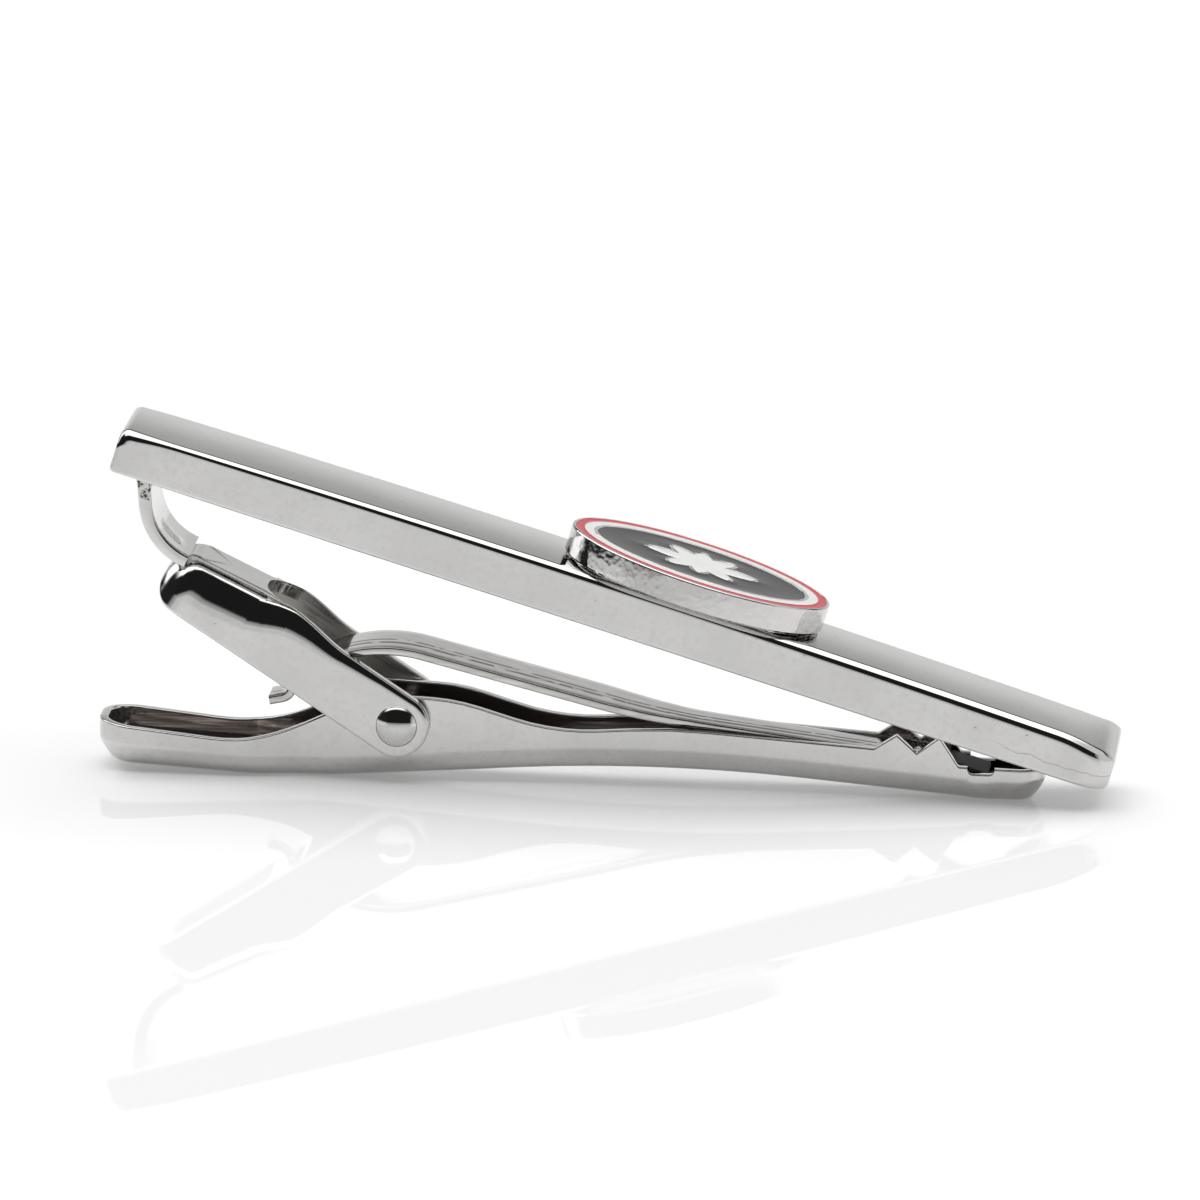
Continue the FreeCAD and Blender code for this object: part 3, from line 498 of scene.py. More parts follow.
def spring_steel():
    """Rolled spring steel: draw lines along its length, lanes of broken dark marks left by the rolls, and
    painted shade that makes the nose end dark and matt.
    """
    finish = new_finish("bright_spring_steel")
    x, y, _ = finish.axes(finish.place())
    lines = finish.cloud(0.25, detail=3.0, stretch=(16, 1, 1))
    dashes = finish.step(finish.cloud(1.1, detail=2.0, stretch=(1, 0.7, 20)), 0.36, 0.44)
    marks = 0.0
    for lane, drift, width in ROLL_MARKS:
        off = abs(y - lane - drift * x)
        marks = (1 - finish.step(off, 0.5 * width, width)) * dashes + marks
    within = finish.mark()
    colour = finish.blend(finish.step(lines, 0.35, 0.7), STEEL_DARK, STEEL_LIGHT)
    colour = finish.blend(marks, colour, ROLL_MARK_COLOUR)
    # painted shade: the spring's nose end goes dark and matt
    colour = finish.blend(within, colour, NOSE_PAINTED_SHADE)
    waves = finish.relief(finish.cloud(2.5, detail=1.0), depth_mm=0.004)
    return finish.surface(
        Base_Color=colour, Metallic=1 - within, Roughness=0.07 + 0.08 * lines + 0.5 * within,
        Normal=finish.relief(lines, depth_mm=0.0006, normal=waves),
    )


def enamel(name, colour, deep, speck):
    """Ground and polished enamel: faint clouds in its colour, dust specks, and a clear glossy skin."""
    finish = new_finish(name)
    cloud = finish.cloud(1.2, detail=4.0)
    dust = finish.step(finish.cloud(0.09, detail=1.0), 0.72, 0.78)
    tone = finish.blend(finish.step(cloud, 0.3, 0.75), deep, colour)
    return finish.surface(
        Base_Color=finish.blend(dust, tone, speck), Roughness=0.05 + 0.06 * cloud, IOR=1.25,
        Normal=finish.relief(finish.cloud(0.8, detail=2.0), depth_mm=0.003),
    )


def filler_metal(name, bright, dark, lump_mm, rough):
    """Solder or braze as laid: lumpy, with oxide in its hollows."""
    finish = new_finish(name)
    lumps = finish.cloud(lump_mm, detail=5.0, roughness=0.6)
    return finish.surface(
        Base_Color=finish.blend(finish.step(lumps, 0.44, 0.56), dark, bright), Metallic=0.9,
        Roughness=rough + 0.1 * lumps, Normal=finish.relief(lumps, depth_mm=0.05),
    )


bar_plating = polished(
    "bar_plating", haze=0.03, wave_um=3.0, wave_mm=2.4, stretch=(30, 1, 1), slope=BAR_SLOPE, with_reflection_line=True,
)
emblem_plating = polished(
    "emblem_plating", haze=0.05, wave_um=22.0, wave_mm=0.45, stretch=(1, 1, 25), slope=BAR_SLOPE,
)
# its inner faces take pale, partly matt streaks: painted reflected light
bracket_plating = polished(
    "bracket_plating", haze=0.05, wave_um=4.0, wave_mm=1.5, stretch=(30, 1, 3), slope=ARM_SLOPE,
    inside=(0.8, 0.78, 0.75), drawn=30.0, peel_um=0.5, dull=0.1, matt=0.5,
)
# its inner faces take dark brown streaks: painted shade
jaw_plating = polished(
    "jaw_plating", haze=0.05, wave_um=5.0, wave_mm=2.0, stretch=(25, 1, 1),
    inside=(0.26, 0.22, 0.2), drawn=20.0, dull=0.06, matt=0.25,
)
rivet_plating = polished("rivet_plating", haze=0.04, wave_um=3.0, wave_mm=0.5, stretch=(1, 5, 1))
spring_finish = spring_steel()
red_enamel = enamel("red_enamel", (0.62, 0.045, 0.06), (0.55, 0.035, 0.05), (0.66, 0.12, 0.12))
white_enamel = enamel("white_enamel", (0.86, 0.86, 0.85), (0.8, 0.8, 0.79), (0.7, 0.69, 0.67))
dark_enamel = enamel("dark_enamel", (0.028, 0.028, 0.03), (0.02, 0.02, 0.022), (0.08, 0.08, 0.08))
solder_metal = filler_metal("solder_metal", (0.7, 0.7, 0.7), (0.4, 0.4, 0.4), lump_mm=0.5, rough=0.12)
braze_metal = filler_metal("braze_metal", (0.62, 0.61, 0.58), (0.008, 0.007, 0.006), lump_mm=0.3, rough=0.08)


# Pieces

def softened(path, reach):
    """A polyline whose points are means of their neighbours, weighted by a bell curve of their distance."""
    along = measured(path)
    weight = np.exp(-((along[:, None] - along) / reach[:, None]) ** 2) * np.gradient(along)
    return weight @ path / weight.sum(axis=1, keepdims=True)


def slab_grid(path, spine, near_edge, far_edge, turns, near, far, soft=None):
    """Carry a side outline across Y: each edge is drawn in to a spine along its curve, then the face."""
    toward = unit(spine - path)
    sides, widths = [], []
    for edge in (near_edge, far_edge):
        radii = [np.broadcast_to(value, len(path))[:, None] for value in edge]
        across, depth = edge_curve(radii, turns)
        drawn_in = path + toward * depth[:, :1]
        if soft is not None:
            drawn_in = softened(drawn_in, soft)
        share = np.concatenate([1 + SHADING_RING / depth[:, :1], depth / depth[:, :1]], axis=1)
        edge_points = path[:, None] + (drawn_in - path)[:, None] * share[..., None]
        sides.append(np.concatenate([spine[:, None], edge_points], axis=1))
        widths.append(np.concatenate([np.zeros((len(path), 2)), across], axis=1))
    side = np.concatenate([sides[0], sides[1][:, ::-1]], axis=1)
    y = np.concatenate([near + widths[0], far - widths[1][:, ::-1]], axis=1)
    return np.stack([side[..., 0], y, side[..., 1]], -1)


def bar_shell():
    """Side outline with a crowned front, carried across with soft edges; the nose's near corner is worn.

    The near side is drawn in along a circle in plan. Heights shrink by crown * y^2, and then by
    roll * end share^2 + wear * near share^1.5 * worn share^2, as shares of the thickness.
    """
    middle, half_length = (BAR_START + BAR_END) / 2, (BAR_END - BAR_START) / 2
    sag = BAR_MID_THICKNESS - BAR_END_THICKNESS
    crown = (half_length ** 2 + sag ** 2) / (2 * sag)

    def top(along):
        return BAR_MID_THICKNESS - crown + np.sqrt(crown ** 2 - (along - middle) ** 2)

    along = np.linspace(BAR_END - NOSE_FLAT, BAR_START + THUMB_FLAT, 161)
    path = rounded_path([
        (middle, 0), (BAR_END, 0, FOOT_ROUND), (BAR_END, BAR_END_THICKNESS, NOSE_ROUND),
        *zip(along, top(along)),
        (BAR_START, top(BAR_START), THUMB_ROUND), (BAR_START, 0, FOOT_ROUND), (middle, 0),
    ], radians(3))
    path = filled(path, BAR_SPACING)[:-1]
    x, height = path[:, 0], path[:, 1]
    share = (x - BAR_START) / (BAR_END - BAR_START)
    thumb_half = share < 0.5
    nose_corner = ramp(BAR_END - x, NOSE_CORNER_RUN)
    front = FRONT_EDGE + FRONT_EDGE_GAIN * share
    front = front + THUMB_EDGE_GAIN * ramp(x - BAR_START, THUMB_EDGE_RUN) ** 2
    front = front + NOSE_EDGE_GAIN * ramp(BAR_END - x, NOSE_EDGE_RUN) ** 2
    back = BACK_EDGE + BACK_EDGE_GAIN * nose_corner ** 2
    climb = np.clip((height - THUMB_EDGE_HEIGHT * thumb_half) / EDGE_CHANGE_RUN, 0, 1)
    edge = back + (front - back) * eased(climb)
    far_edge = np.minimum(edge, FAR_EDGE - FAR_EDGE_LOSS * nose_corner)
    spine_x = np.clip(x, BAR_START + BAR_SPINE_INSET, BAR_END - BAR_SPINE_INSET)
    spine = np.stack([spine_x, np.full(len(x), BAR_SPINE_HEIGHT)], 1)
    soft = np.where(thumb_half, THUMB_SMOOTHING, NOSE_SMOOTHING)
    grid = slab_grid(path, spine, [edge], [far_edge], (), -BAR_WIDTH / 2, BAR_WIDTH / 2, soft)
    run = np.clip(grid[..., 0] - BAR_END + NOSE_PLAN_RUN, 0, NOSE_PLAN_RUN)
    drawn_in = NOSE_PLAN_ROUND - np.sqrt(NOSE_PLAN_ROUND ** 2 - run ** 2)
    grid[..., 1] *= 1 - np.where(grid[..., 1] < 0, drawn_in, 0) / (BAR_WIDTH / 2)
    half = grid.shape[1] // 2
    between = np.linspace(0, 1, 26)[1:-1, None]
    face = grid[:, half - 1, None] * (1 - between) + grid[:, half, None] * between
    grid = np.concatenate([grid[:, :half], face, grid[:, half:]], axis=1)
    grid[..., 2] *= 1 - CROSS_CROWN * grid[..., 1] ** 2 / BAR_END_THICKNESS
    near_share = (0.5 - grid[..., 1] / BAR_WIDTH) ** 1.5
    to_end = BAR_END - grid[..., 0]
    drop = NOSE_ROLL_DROP * ramp(to_end, NOSE_ROLL_RUN) ** 2
    drop = drop + NOSE_WORN_DROP * near_share * ramp(to_end, NOSE_WORN_RUN) ** 2
    grid[..., 2] *= 1 - drop / BAR_END_THICKNESS
    return closed_shell(on_bar(grid), True, False)


def oval_point(angle, inset, height):
    """Point of the emblem at an angle, drawn in from its outline and at a height over the bar's back."""
    x = EMBLEM_AT + (EMBLEM_HALF[0] - inset) * np.cos(angle)
    y = (EMBLEM_HALF[1] - inset) * np.sin(angle)
    return np.stack(np.broadcast_arrays(x, y, height), axis=-1)


def oval_shell(section):
    """Carry a section of (inset, height) points round the emblem's oval and close it on itself."""
    section = np.asarray(section, float)
    points = oval_point(full_turn(360)[:, None], section[None, :, 0], section[None, :, 1])
    return closed_shell(on_bar(points), True, True)


def oval_radius(angle, length, width):
    """Radius of an oval at an angle: 1 / hypot(cosine / length, sine / width)."""
    return 1 / np.hypot(np.cos(angle) / length, np.sin(angle) / width)


def rosette_radius(angle, growth):
    """Radius of the rosette: the widest of four crossing ovals, each as long as the rosette's oval there."""
    widest = np.zeros_like(angle)
    for turn in np.arange(4) * pi / 4:
        petal = oval_radius(angle - turn, oval_radius(turn, *ROSETTE_HALF) + growth, PETAL_HALF + growth)
        widest = np.maximum(widest, petal)
    return widest


def polar_shell(inner, outer, low, high, rings=6):
    """Plate between two radii that depend on the angle, with a slightly hollow top."""
    angle = full_turn(720)[:, None]
    share = np.linspace(0, 1, rings)
    edge_in, edge_out = inner(angle), outer(angle)
    radius = edge_in + (edge_out - edge_in) * np.concatenate([share, share[::-1]])
    hollow = FIELD_HOLLOW * np.sin(share * pi) ** 0.5
    height = np.concatenate([np.full(rings, low), high - hollow[::-1]])
    x = EMBLEM_AT + radius * np.cos(angle)
    y = radius * np.sin(angle)
    return closed_shell(on_bar(np.stack(np.broadcast_arrays(x, y, height), -1)), True, True)


def make_emblem():
    """Struck plate with a raised rim, a metal line and a rosette's outline, and the enamel between them."""
    back, top, floor = EMBLEM_BACK, EMBLEM_TOP, EMBLEM_TOP - ENAMEL_DEPTH
    chamfer, soft, lip = 0.1, 0.1, 0.03
    centre = EMBLEM_HALF[1] * 0.999
    section = [
        (centre, back), (chamfer, back), (0, back + chamfer),
        *[(soft * (1 - c), top - soft * (1 - s)) for s, c in zip(*quarter(6))],
        (RED_INSET - lip, top), (RED_INSET, top - lip), (RED_INSET, floor),
        (LINE_INSET, floor), (LINE_INSET, top - lip), (LINE_INSET + lip, top),
        (FIELD_INSET - lip, top), (FIELD_INSET, top - lip), (FIELD_INSET, floor), (centre, floor),
    ]

    def petal_edge(angle):
        return rosette_radius(angle, 0)

    def outline_edge(angle):
        return rosette_radius(angle, PETAL_OUTLINE)

    def field_edge(angle):
        return oval_radius(angle, *(EMBLEM_HALF - FIELD_INSET))

    def ring(start, end):
        share = np.linspace(0, 1, 7)
        height = top - RING_SINK - RING_HOLLOW * np.sin(share * pi)
        return oval_shell([(start, floor), *zip(start + (end - start) * share, height), (end, floor)])

    outline_wall = polar_shell(petal_edge, outline_edge, floor - lip, top + OUTLINE_STAND)
    make_piece("emblem_plate", [oval_shell(section), outline_wall], "emblem_base",
               emblem_plating, crease=25)
    make_piece("red_ring", [ring(RED_INSET, WHITE_INSET)], "enamel_red_ring", red_enamel)
    make_piece("white_ring", [ring(WHITE_INSET, LINE_INSET)], "enamel_white_ring",
               white_enamel)
    enamel_top = top - FIELD_SINK
    field = polar_shell(outline_edge, field_edge, floor, enamel_top)
    make_piece("dark_field", [field], "enamel_dark_field", dark_enamel)
    petals = polar_shell(lambda angle: np.full_like(angle, TINY), petal_edge, floor, enamel_top)
    make_piece("white_rosette", [petals], "enamel_white_rosette", white_enamel)


def make_solder():
    """Uneven film between bar and emblem: an oval cut off at the bar's edges, bulging a little all round."""
    angle = full_turn(240)[:, None]
    share = np.linspace(0, 1, 7)
    unevenness = 0.8 + 0.4 * ripple(9 * np.cos(angle), 9 * np.sin(angle), 1.0)
    blob = np.exp(-((angle - 1.07 * pi) / 0.25) ** 2) * (1 - share) ** 2
    inset = SOLDER_INSET - (SOLDER_BULGE * np.sin(share * pi) * unevenness + SOLDER_BLOB * blob)
    low, high = BAR_END_THICKNESS + SOLDER_LIFT, EMBLEM_BACK + SOLDER_OVERLAP
    points = oval_point(angle, inset, low + (high - low) * share)
    limit = BAR_WIDTH / 2 - SOLDER_SIDE_GAP
    points[..., 1] = np.clip(points[..., 1], -limit, limit)
    shell = closed_shell(on_bar(capped(np.swapaxes(points, 0, 1))))
    make_piece("solder_film", [shell], "emblem_solder", solder_metal, crease=60)


def strip_grid(path, thickness, half_width, edge, across=9):
    """Carry a flat, soft-edged section along a path: path - normal * depth, and Y to a half width."""
    normal = left_normals(path)
    sine, cosine = quarter(4)
    share = np.linspace(1, -1, across)[1:-1]
    flat = np.zeros_like(share)
    round_side = np.ones(2 * len(sine))
    lean = np.concatenate([share, -round_side, share[::-1], round_side])
    side = np.concatenate([flat, -edge * sine, -edge * cosine, flat, edge * sine, edge * cosine])
    upper, lower = edge * (1 - cosine), thickness - edge * (1 - sine)
    depth = np.concatenate([flat, upper, lower, flat + thickness, thickness - upper, thickness - lower])
    y = lean * (half_width[:, None] - edge) + side
    x = path[:, 0, None] - normal[:, 0, None] * depth
    z = path[:, 1, None] - normal[:, 1, None] * depth
    return np.stack([x, y, z], axis=-1)


def web_height(station):
    """Height of the bracket's web over the hinge line, at a place along the arms."""
    return WEB_END_HEIGHT + (BRACKET_REACH + station) * tan(WEB_FALL)


def bracket_top(station):
    """Height of the bracket's upper edge: the web's slope, led by a smooth cubic into the level arms."""
    run = WEB_FRONT - ARM_TOP_START
    share = np.clip((station + WEB_FRONT) / run, 0, 1)
    climb = run * tan(WEB_FALL) * share * (1 - share) ** 2
    web = web_height(np.minimum(station, -WEB_FRONT))
    return web + (ARM_HALF - web) * eased(share) + climb


def wall_rounds(station):
    """Radii of the upper edge of the bracket's walls, from the wall to the web, smaller towards the ears."""
    return [np.interp(station, *rounds) for rounds in (WIDE_ROUNDS, TIGHT_ROUNDS, CROWN_ROUNDS)]


def channel_shell():
    """Plan path of the walls carried through a section: lip, wall, rolled edge, web, underside, inner wall.

    Past its joint with the arms, the section is sunk by a little, so that it hides inside them.
    """
    half, sheet, lip = BRACKET_HALF, BRACKET_SHEET, BRACKET_LIP
    back, notch, joint = -BRACKET_REACH, -NOTCH_REACH, -ARM_JOINT
    end = joint + CHANNEL_OVERLAP
    half_plan = rounded_path([(end, half), (back, half, BRACKET_CORNER), (back, 0)], radians(4))
    quarter_run = 1 - quarter(16)[1]
    notch_run = notch + NOTCH_ROUND * quarter_run
    end_run = back + BRACKET_END_ROUND * quarter_run
    stations = np.concatenate([notch_run, end_run, [joint, joint + TINY, notch - 2 * TINY]])
    far = filled(half_plan, BRACKET_SPACING, end - stations)
    plan = np.concatenate([far, far[-2::-1] * (1, -1)])
    inward = left_normals(plan)
    station = plan[:, 0, None]
    curl = np.clip(back + BRACKET_END_ROUND - station, 0, BRACKET_END_ROUND)
    low = -ARM_HALF + BRACKET_END_ROUND - np.sqrt(BRACKET_END_ROUND ** 2 - curl ** 2)
    past = np.clip(station - notch, 0, NOTCH_ROUND)
    opening = half - sheet - NOTCH_ROUND + np.sqrt(NOTCH_ROUND ** 2 - (NOTCH_ROUND - past) ** 2)
    web_end = np.where(station < notch, half, half - opening)
    wide, tight, crown = wall_rounds(station)
    room = WALL_SHARE * (bracket_top(station) - low)
    wide = np.minimum(wide, (room - TIGHT_RISE * tight - CROWN_RISE * crown) / WIDE_RISE)
    across, deep = edge_curve([wide, tight, crown], WALL_TURNS)
    small_sine, small_cosine = quarter(5)
    one = np.ones_like(station)
    inset = np.concatenate([
        lip * (1 - small_sine) * one, np.zeros((len(plan), 2)), across, across[:, -1:] + WEB_RING,
        web_end, web_end, sheet * one, sheet * one, (sheet - lip * (1 - small_cosine)) * one,
    ], axis=1)
    sunk = 1.0 * (station > joint + TINY / 2)
    inset = inset + CHANNEL_SINK * sunk * np.sign(sheet / 2 - inset)
    reached = inset >= half - 1e-6
    points = plan[:, None] + inward[:, None] * inset[..., None]
    x = np.where(reached, np.clip(station, back + half, None), points[..., 0])
    y = np.where(reached, 0, points[..., 1])
    top = bracket_top(x)
    first = len(small_sine) + 2
    last = first + across.shape[1]
    height = np.concatenate([
        low + lip * (1 - small_cosine), low + lip + SHADING_RING,
        top[:, first - 1:first] - deep[:, :1] - SHADING_RING, top[:, first:last] - deep,
        top[:, last:last + 2], top[:, last + 2:last + 4] - sheet / cos(WEB_FALL),
        low + 2 * lip, low + lip * (1 - small_sine),
    ], axis=1)
    height = np.maximum(height, low) * (1 - 0.25 * sunk)
    inner = 1.0 * (np.arange(inset.shape[1]) >= last + 2)
    return closed_shell(on_arms(np.stack([x, y, height], -1)), inside=inner)


def arm_shell(side):
    """Flat arm with a round ear on one side of the channel, whose rolled upper edge it carries on.

    Its tail behind the joint is sunk by a little, so that it hides inside the channel.
    """
    tail, sunk = -ARM_JOINT - ARM_TAIL, -ARM_JOINT - ARM_STEP
    top = np.concatenate([np.linspace(-ARM_TOP_END, -ARM_JOINT, 60), np.linspace(sunk, tail, 10)])
    path = rounded_path([
        (-ARM_SEAM, -ARM_HALF), (ARM_HALF, -ARM_HALF, ARM_HALF), (ARM_HALF, ARM_HALF, ARM_HALF),
        *zip(top, bracket_top(top)), (tail, -ARM_HALF), (sunk, -ARM_HALF), (-ARM_JOINT, -ARM_HALF),
        (-ARM_SEAM, -ARM_HALF),
    ], radians(3))
    path = filled(path, BRACKET_SPACING)[:-1]
    hidden = 1.0 * (path[:, 0] < sunk + ARM_STEP / 2)
    share = np.clip(path[:, 1] / ARM_HALF, -1, 1) / 2 + 0.5
    path[:, 1] *= 1 - 0.06 * hidden
    spine = np.stack([np.clip(path[:, 0], tail + ARM_SPINE_INSET, 0), np.zeros(len(path))], 1)
    outer_edge = [BRACKET_LIP + (radius - BRACKET_LIP) * share for radius in wall_rounds(path[:, 0])]
    inner_edge = [ARM_INNER_EDGE] * 3
    inset = ARM_SINK * hidden[:, None]
    inner, outer = BRACKET_HALF - BRACKET_SHEET, BRACKET_HALF
    if side < 0:
        grid = slab_grid(path, spine, outer_edge, inner_edge, WALL_TURNS, inset - outer, -inner - inset)
    else:
        grid = slab_grid(path, spine, inner_edge, outer_edge, WALL_TURNS, inner + inset, outer - inset)
    return closed_shell(on_arms(grid), True, False, np.abs(grid[..., 1]) < inner + INSIDE_MARGIN)


def tongue_climb():
    """Distance of the tongue's corner from the bar's back."""
    up = TONGUE_REACH * sin(ARMS_TO_BAR) + web_height(-TONGUE_REACH) * cos(ARMS_TO_BAR)
    return HINGE_TO_BACK - up


def tongue_shell():
    """Strip from the web, round a bend and up to the bar's back, with a pressed dart across the bend."""
    lean = TONGUE_BEND - WEB_FALL
    corner = np.array([-TONGUE_REACH, web_height(-TONGUE_REACH)])
    length = tongue_climb() / sin(lean + ARMS_TO_BAR) + TONGUE_OVERLAP
    root = -BRACKET_REACH + TONGUE_ROOT
    path = filled(rounded_path([
        corner + length * np.array([-cos(lean), sin(lean)]), (*corner, TONGUE_ROUND),
        (root, web_height(root) - TONGUE_DIP),
    ], radians(2)), TONGUE_SPACING)
    grid = strip_grid(path, BRACKET_SHEET, np.full(len(path), TONGUE_HALF), TONGUE_EDGE, 41)
    along = measured(path)[:, None]
    off_length = (along - along[-1] + DART_BACK) / DART_HALF_LENGTH
    off_width = (grid[..., 1] - DART_ACROSS) / DART_HALF_WIDTH
    dart = DART_HEIGHT * np.exp(-off_width ** 6 - off_length ** 6)
    normal = left_normals(path)
    grid[..., 0] += normal[:, 0, None] * dart
    grid[..., 2] += normal[:, 1, None] * dart
    return closed_shell(on_arms(capped(grid)))


def bridge_shell():
    """Plate between the arms with a slot for the spring: slot edge and plate edge joined by a ring."""
    def rectangle(back, front, half):
        return np.array([(-back, -half), (-front, -half), (-front, half), (-back, half)])

    slot = rectangle(SLOT_BACK, SLOT_FRONT, SLOT_HALF)
    plate = rectangle(BRIDGE_BACK, BRIDGE_FRONT, BRACKET_HALF - BRACKET_SHEET + BRIDGE_OVERLAP)
    low, high = -ARM_HALF, BRACKET_SHEET - ARM_HALF
    ring = np.stack([slot, plate, plate, slot], axis=1)
    height = np.broadcast_to(np.array([low, low, high, high]), ring.shape[:2])
    return closed_shell(on_arms(np.dstack([ring, height])), True, True)


def make_bracket():
    """Stamped bracket: channel, two arms, tongue and bridge."""
    shells = [channel_shell(), arm_shell(-1), arm_shell(1), tongue_shell(), bridge_shell()]
    make_piece("hinge_channel", shells, "hinge_bracket", bracket_plating)


def make_braze():
    """Lumpy fillet round the tongue's end: a rounded loop, spread out at the bar and drawn in below it."""
    lean = TONGUE_BEND - WEB_FALL + ARMS_TO_BAR
    inner = web_height(-TONGUE_REACH) * sin(ARMS_TO_BAR) - TONGUE_REACH * cos(ARMS_TO_BAR)
    inner = inner - tongue_climb() / tan(lean)
    half_thick = BRACKET_SHEET / sin(lean) / 2
    angle = full_turn(200)[None]
    sine, cosine = np.sin(angle), np.cos(angle)
    share = np.linspace(0, 1, 9)[:, None]
    lumps = 0.85 + 0.35 * ripple(8 * cosine, 20 * sine, 2.0)
    spread = (BRAZE_SPREAD + BRAZE_FILLET * np.clip(cosine, 0, 1)) * (1 - share) ** 2 * lumps + BRAZE_FILM
    round_x, round_y = (np.sign(wave) * np.abs(wave) ** 0.25 for wave in (cosine, sine))
    depth = BRAZE_DEPTH * share * (1 + 1.7 * np.clip(-sine, 0, 1) ** 4)
    x = inner - half_thick + depth / tan(lean) + (half_thick + spread) * round_x
    y = (TONGUE_HALF + 0.6 * spread) * round_y
    points = np.stack(np.broadcast_arrays(x, y, BRAZE_OVERLAP - depth), -1)
    shell = closed_shell(on_bar(capped(points)))
    make_piece("braze_bead", [shell], "tongue_braze", braze_metal, crease=60)


def make_rivet():
    """Domed head, shaft and domed head turned about the hinge axis."""
    rise = RIVET_HEAD_HEIGHT - RIVET_RIM
    sphere = (RIVET_DOME ** 2 + rise ** 2) / (2 * rise)
    radius = np.linspace(0, RIVET_DOME, 24)
    dome = np.stack([radius, RIVET_HEAD_HEIGHT - sphere + np.sqrt(sphere ** 2 - radius ** 2)], 1)
    head = np.concatenate([dome, [RIVET_GROOVE, *RIVET_LEDGE, (RIVET_HEAD, 0), (RIVET_RADIUS, 0)]])
    head = head + (0, BRACKET_HALF)
    profile = np.concatenate([head, head[::-1] * (1, -1)])
    angle = full_turn(96)[:, None]
    x, z = profile[:, 0] * np.cos(angle), profile[:, 0] * np.sin(angle)
    points = np.stack(np.broadcast_arrays(x, profile[:, 1], z), -1) + HINGE
    make_piece("rivet", [closed_shell(points, True, False)], "hinge_rivet", rivet_plating)


def jaw_rim():
    """Upper edge of the jaw's walls: tray, ears, neck, two teeth and the nose with the lug notches."""
    notch_back, notch_front, notch_floor, notch_round = 29.42, 30.82, 1.5, 0.3
    return rounded_path([
        (-JAW_BACK - JAW_OVERRUN, 2.75), (-7.2, 1.8, 9.0), (-1.3, 4.6, 2.0), (3.0, 4.4, 10.0),
        (8.1, 2.88, 12.0), (14.0, 3.32, 30.0), (24.6, 2.66, 0.2), (25.75, 3.42, 0.08), (26.8, 2.48, 0.08),
        (27.95, 3.36, 0.08), (28.95, 1.86, 0.2), (notch_back, 1.845), (notch_back, notch_floor, notch_round),
        (notch_front, notch_floor, notch_round), (notch_front, 1.8), (JAW_FRONT + JAW_OVERRUN, 1.7),
    ])


def jaw_bottom():
    """Underside of the jaw: lifted tray, belly, long arch and nose."""
    return rounded_path([
        (-JAW_BACK - JAW_OVERRUN, 0.52), (-7.0, 0, 20.0), (-3.5, 0, 20.0), (13.5, 1.3, 100.0),
        (JAW_FRONT - 3, 0, 20.0), (JAW_FRONT + JAW_OVERRUN, 0),
    ], radians(0.5))


def make_jaw():
    """Plan loop carried through a floor, corner and wall section, outside up to the rim and inside down."""
    rim, bottom = jaw_rim(), jaw_bottom()
    half_plan = rounded_path([
        (-JAW_BACK, 0), (-JAW_BACK, TRAY_HALF, 1.9), (-7.8, TRAY_HALF, 4.0), (-5.3, EAR_HALF, 4.0),
        (3.0, EAR_HALF, 4.0), (8.1, NOSE_HALF, 4.0), (JAW_FRONT, NOSE_HALF, 1.5), (JAW_FRONT, 0),
    ])
    rim[:, 0] += np.linspace(0, 4 * TINY, len(rim))
    stops = np.interp(rim[1:-1, 0], half_plan[:, 0], measured(half_plan))
    far = filled(half_plan, JAW_SPACING, stops)
    plan = np.concatenate([far, far[-2:0:-1] * (1, -1)])
    inward = -left_normals(plan, closed=True)
    edge = np.interp(plan[:, 0], rim[:, 0], rim[:, 1])[:, None]
    base = np.interp(plan[:, 0], bottom[:, 0], bottom[:, 1])[:, None]
    one = np.ones_like(edge)
    across, deep = edge_curve([radius * one for radius in JAW_RADII], JAW_TURNS)
    shrink = np.minimum(1, 0.75 * (edge - base) / deep[:, :1])
    across, deep = across[:, ::-1] * shrink, deep[:, ::-1] * shrink
    sine, cosine = quarter(10)
    small_sine, small_cosine = quarter(4)
    wall = np.linspace(0, 1, 5)
    flat = np.zeros((len(plan), len(wall)))
    bend, sheet, lip = JAW_BOTTOM_ROUND, JAW_SHEET, JAW_LIP
    inset = np.concatenate([
        bend * one, across, flat, lip * (1 - small_cosine) * one, (sheet - lip * (1 - small_sine)) * one,
        flat + sheet, (bend - (bend - sheet) * sine[::-1]) * one, bend * one,
    ], axis=1)
    points = plan[:, None] + inward[:, None] * inset[..., None]
    middle = np.clip(plan[:, 0], -JAW_BACK + JAW_SPINE_BACK, JAW_FRONT - JAW_SPINE_FRONT)
    spine = np.stack([middle, np.zeros(len(plan))], 1)[:, None]
    points = np.concatenate([spine, points, spine], axis=1)
    ground = np.interp(points[..., 0], bottom[:, 0], bottom[:, 1])
    swell = np.minimum(JAW_SWELL, 0.8 * (edge - base))
    low, inner_low, high = base + deep[:, -1:] + JAW_RING, base + swell, edge - lip - JAW_RING
    height = np.concatenate([
        ground[:, :2], ground[:, 2:2 + across.shape[1]] + deep, low + (high - low) * wall,
        edge - lip * (1 - small_sine), edge - lip * (1 - small_cosine),
        inner_low + (high - inner_low) * wall[::-1],
        ground[:, -2 - len(sine):-2] + sheet + (swell - sheet) * (1 - cosine[::-1]), ground[:, -2:] + sheet,
    ], axis=1)
    inner = np.arange(height.shape[1]) > height.shape[1] - 3 - len(sine) - len(wall)
    # inner faces past the nose's start are marked 2, to be painted dark as shade
    inner = inner * (1 + (points[..., 0] > DARK_NOSE))
    shell = closed_shell(on_floor(np.dstack([points, height])), True, False, inner)
    make_piece("sprung_jaw", [shell], "clip_jaw", jaw_plating, body="jaw")


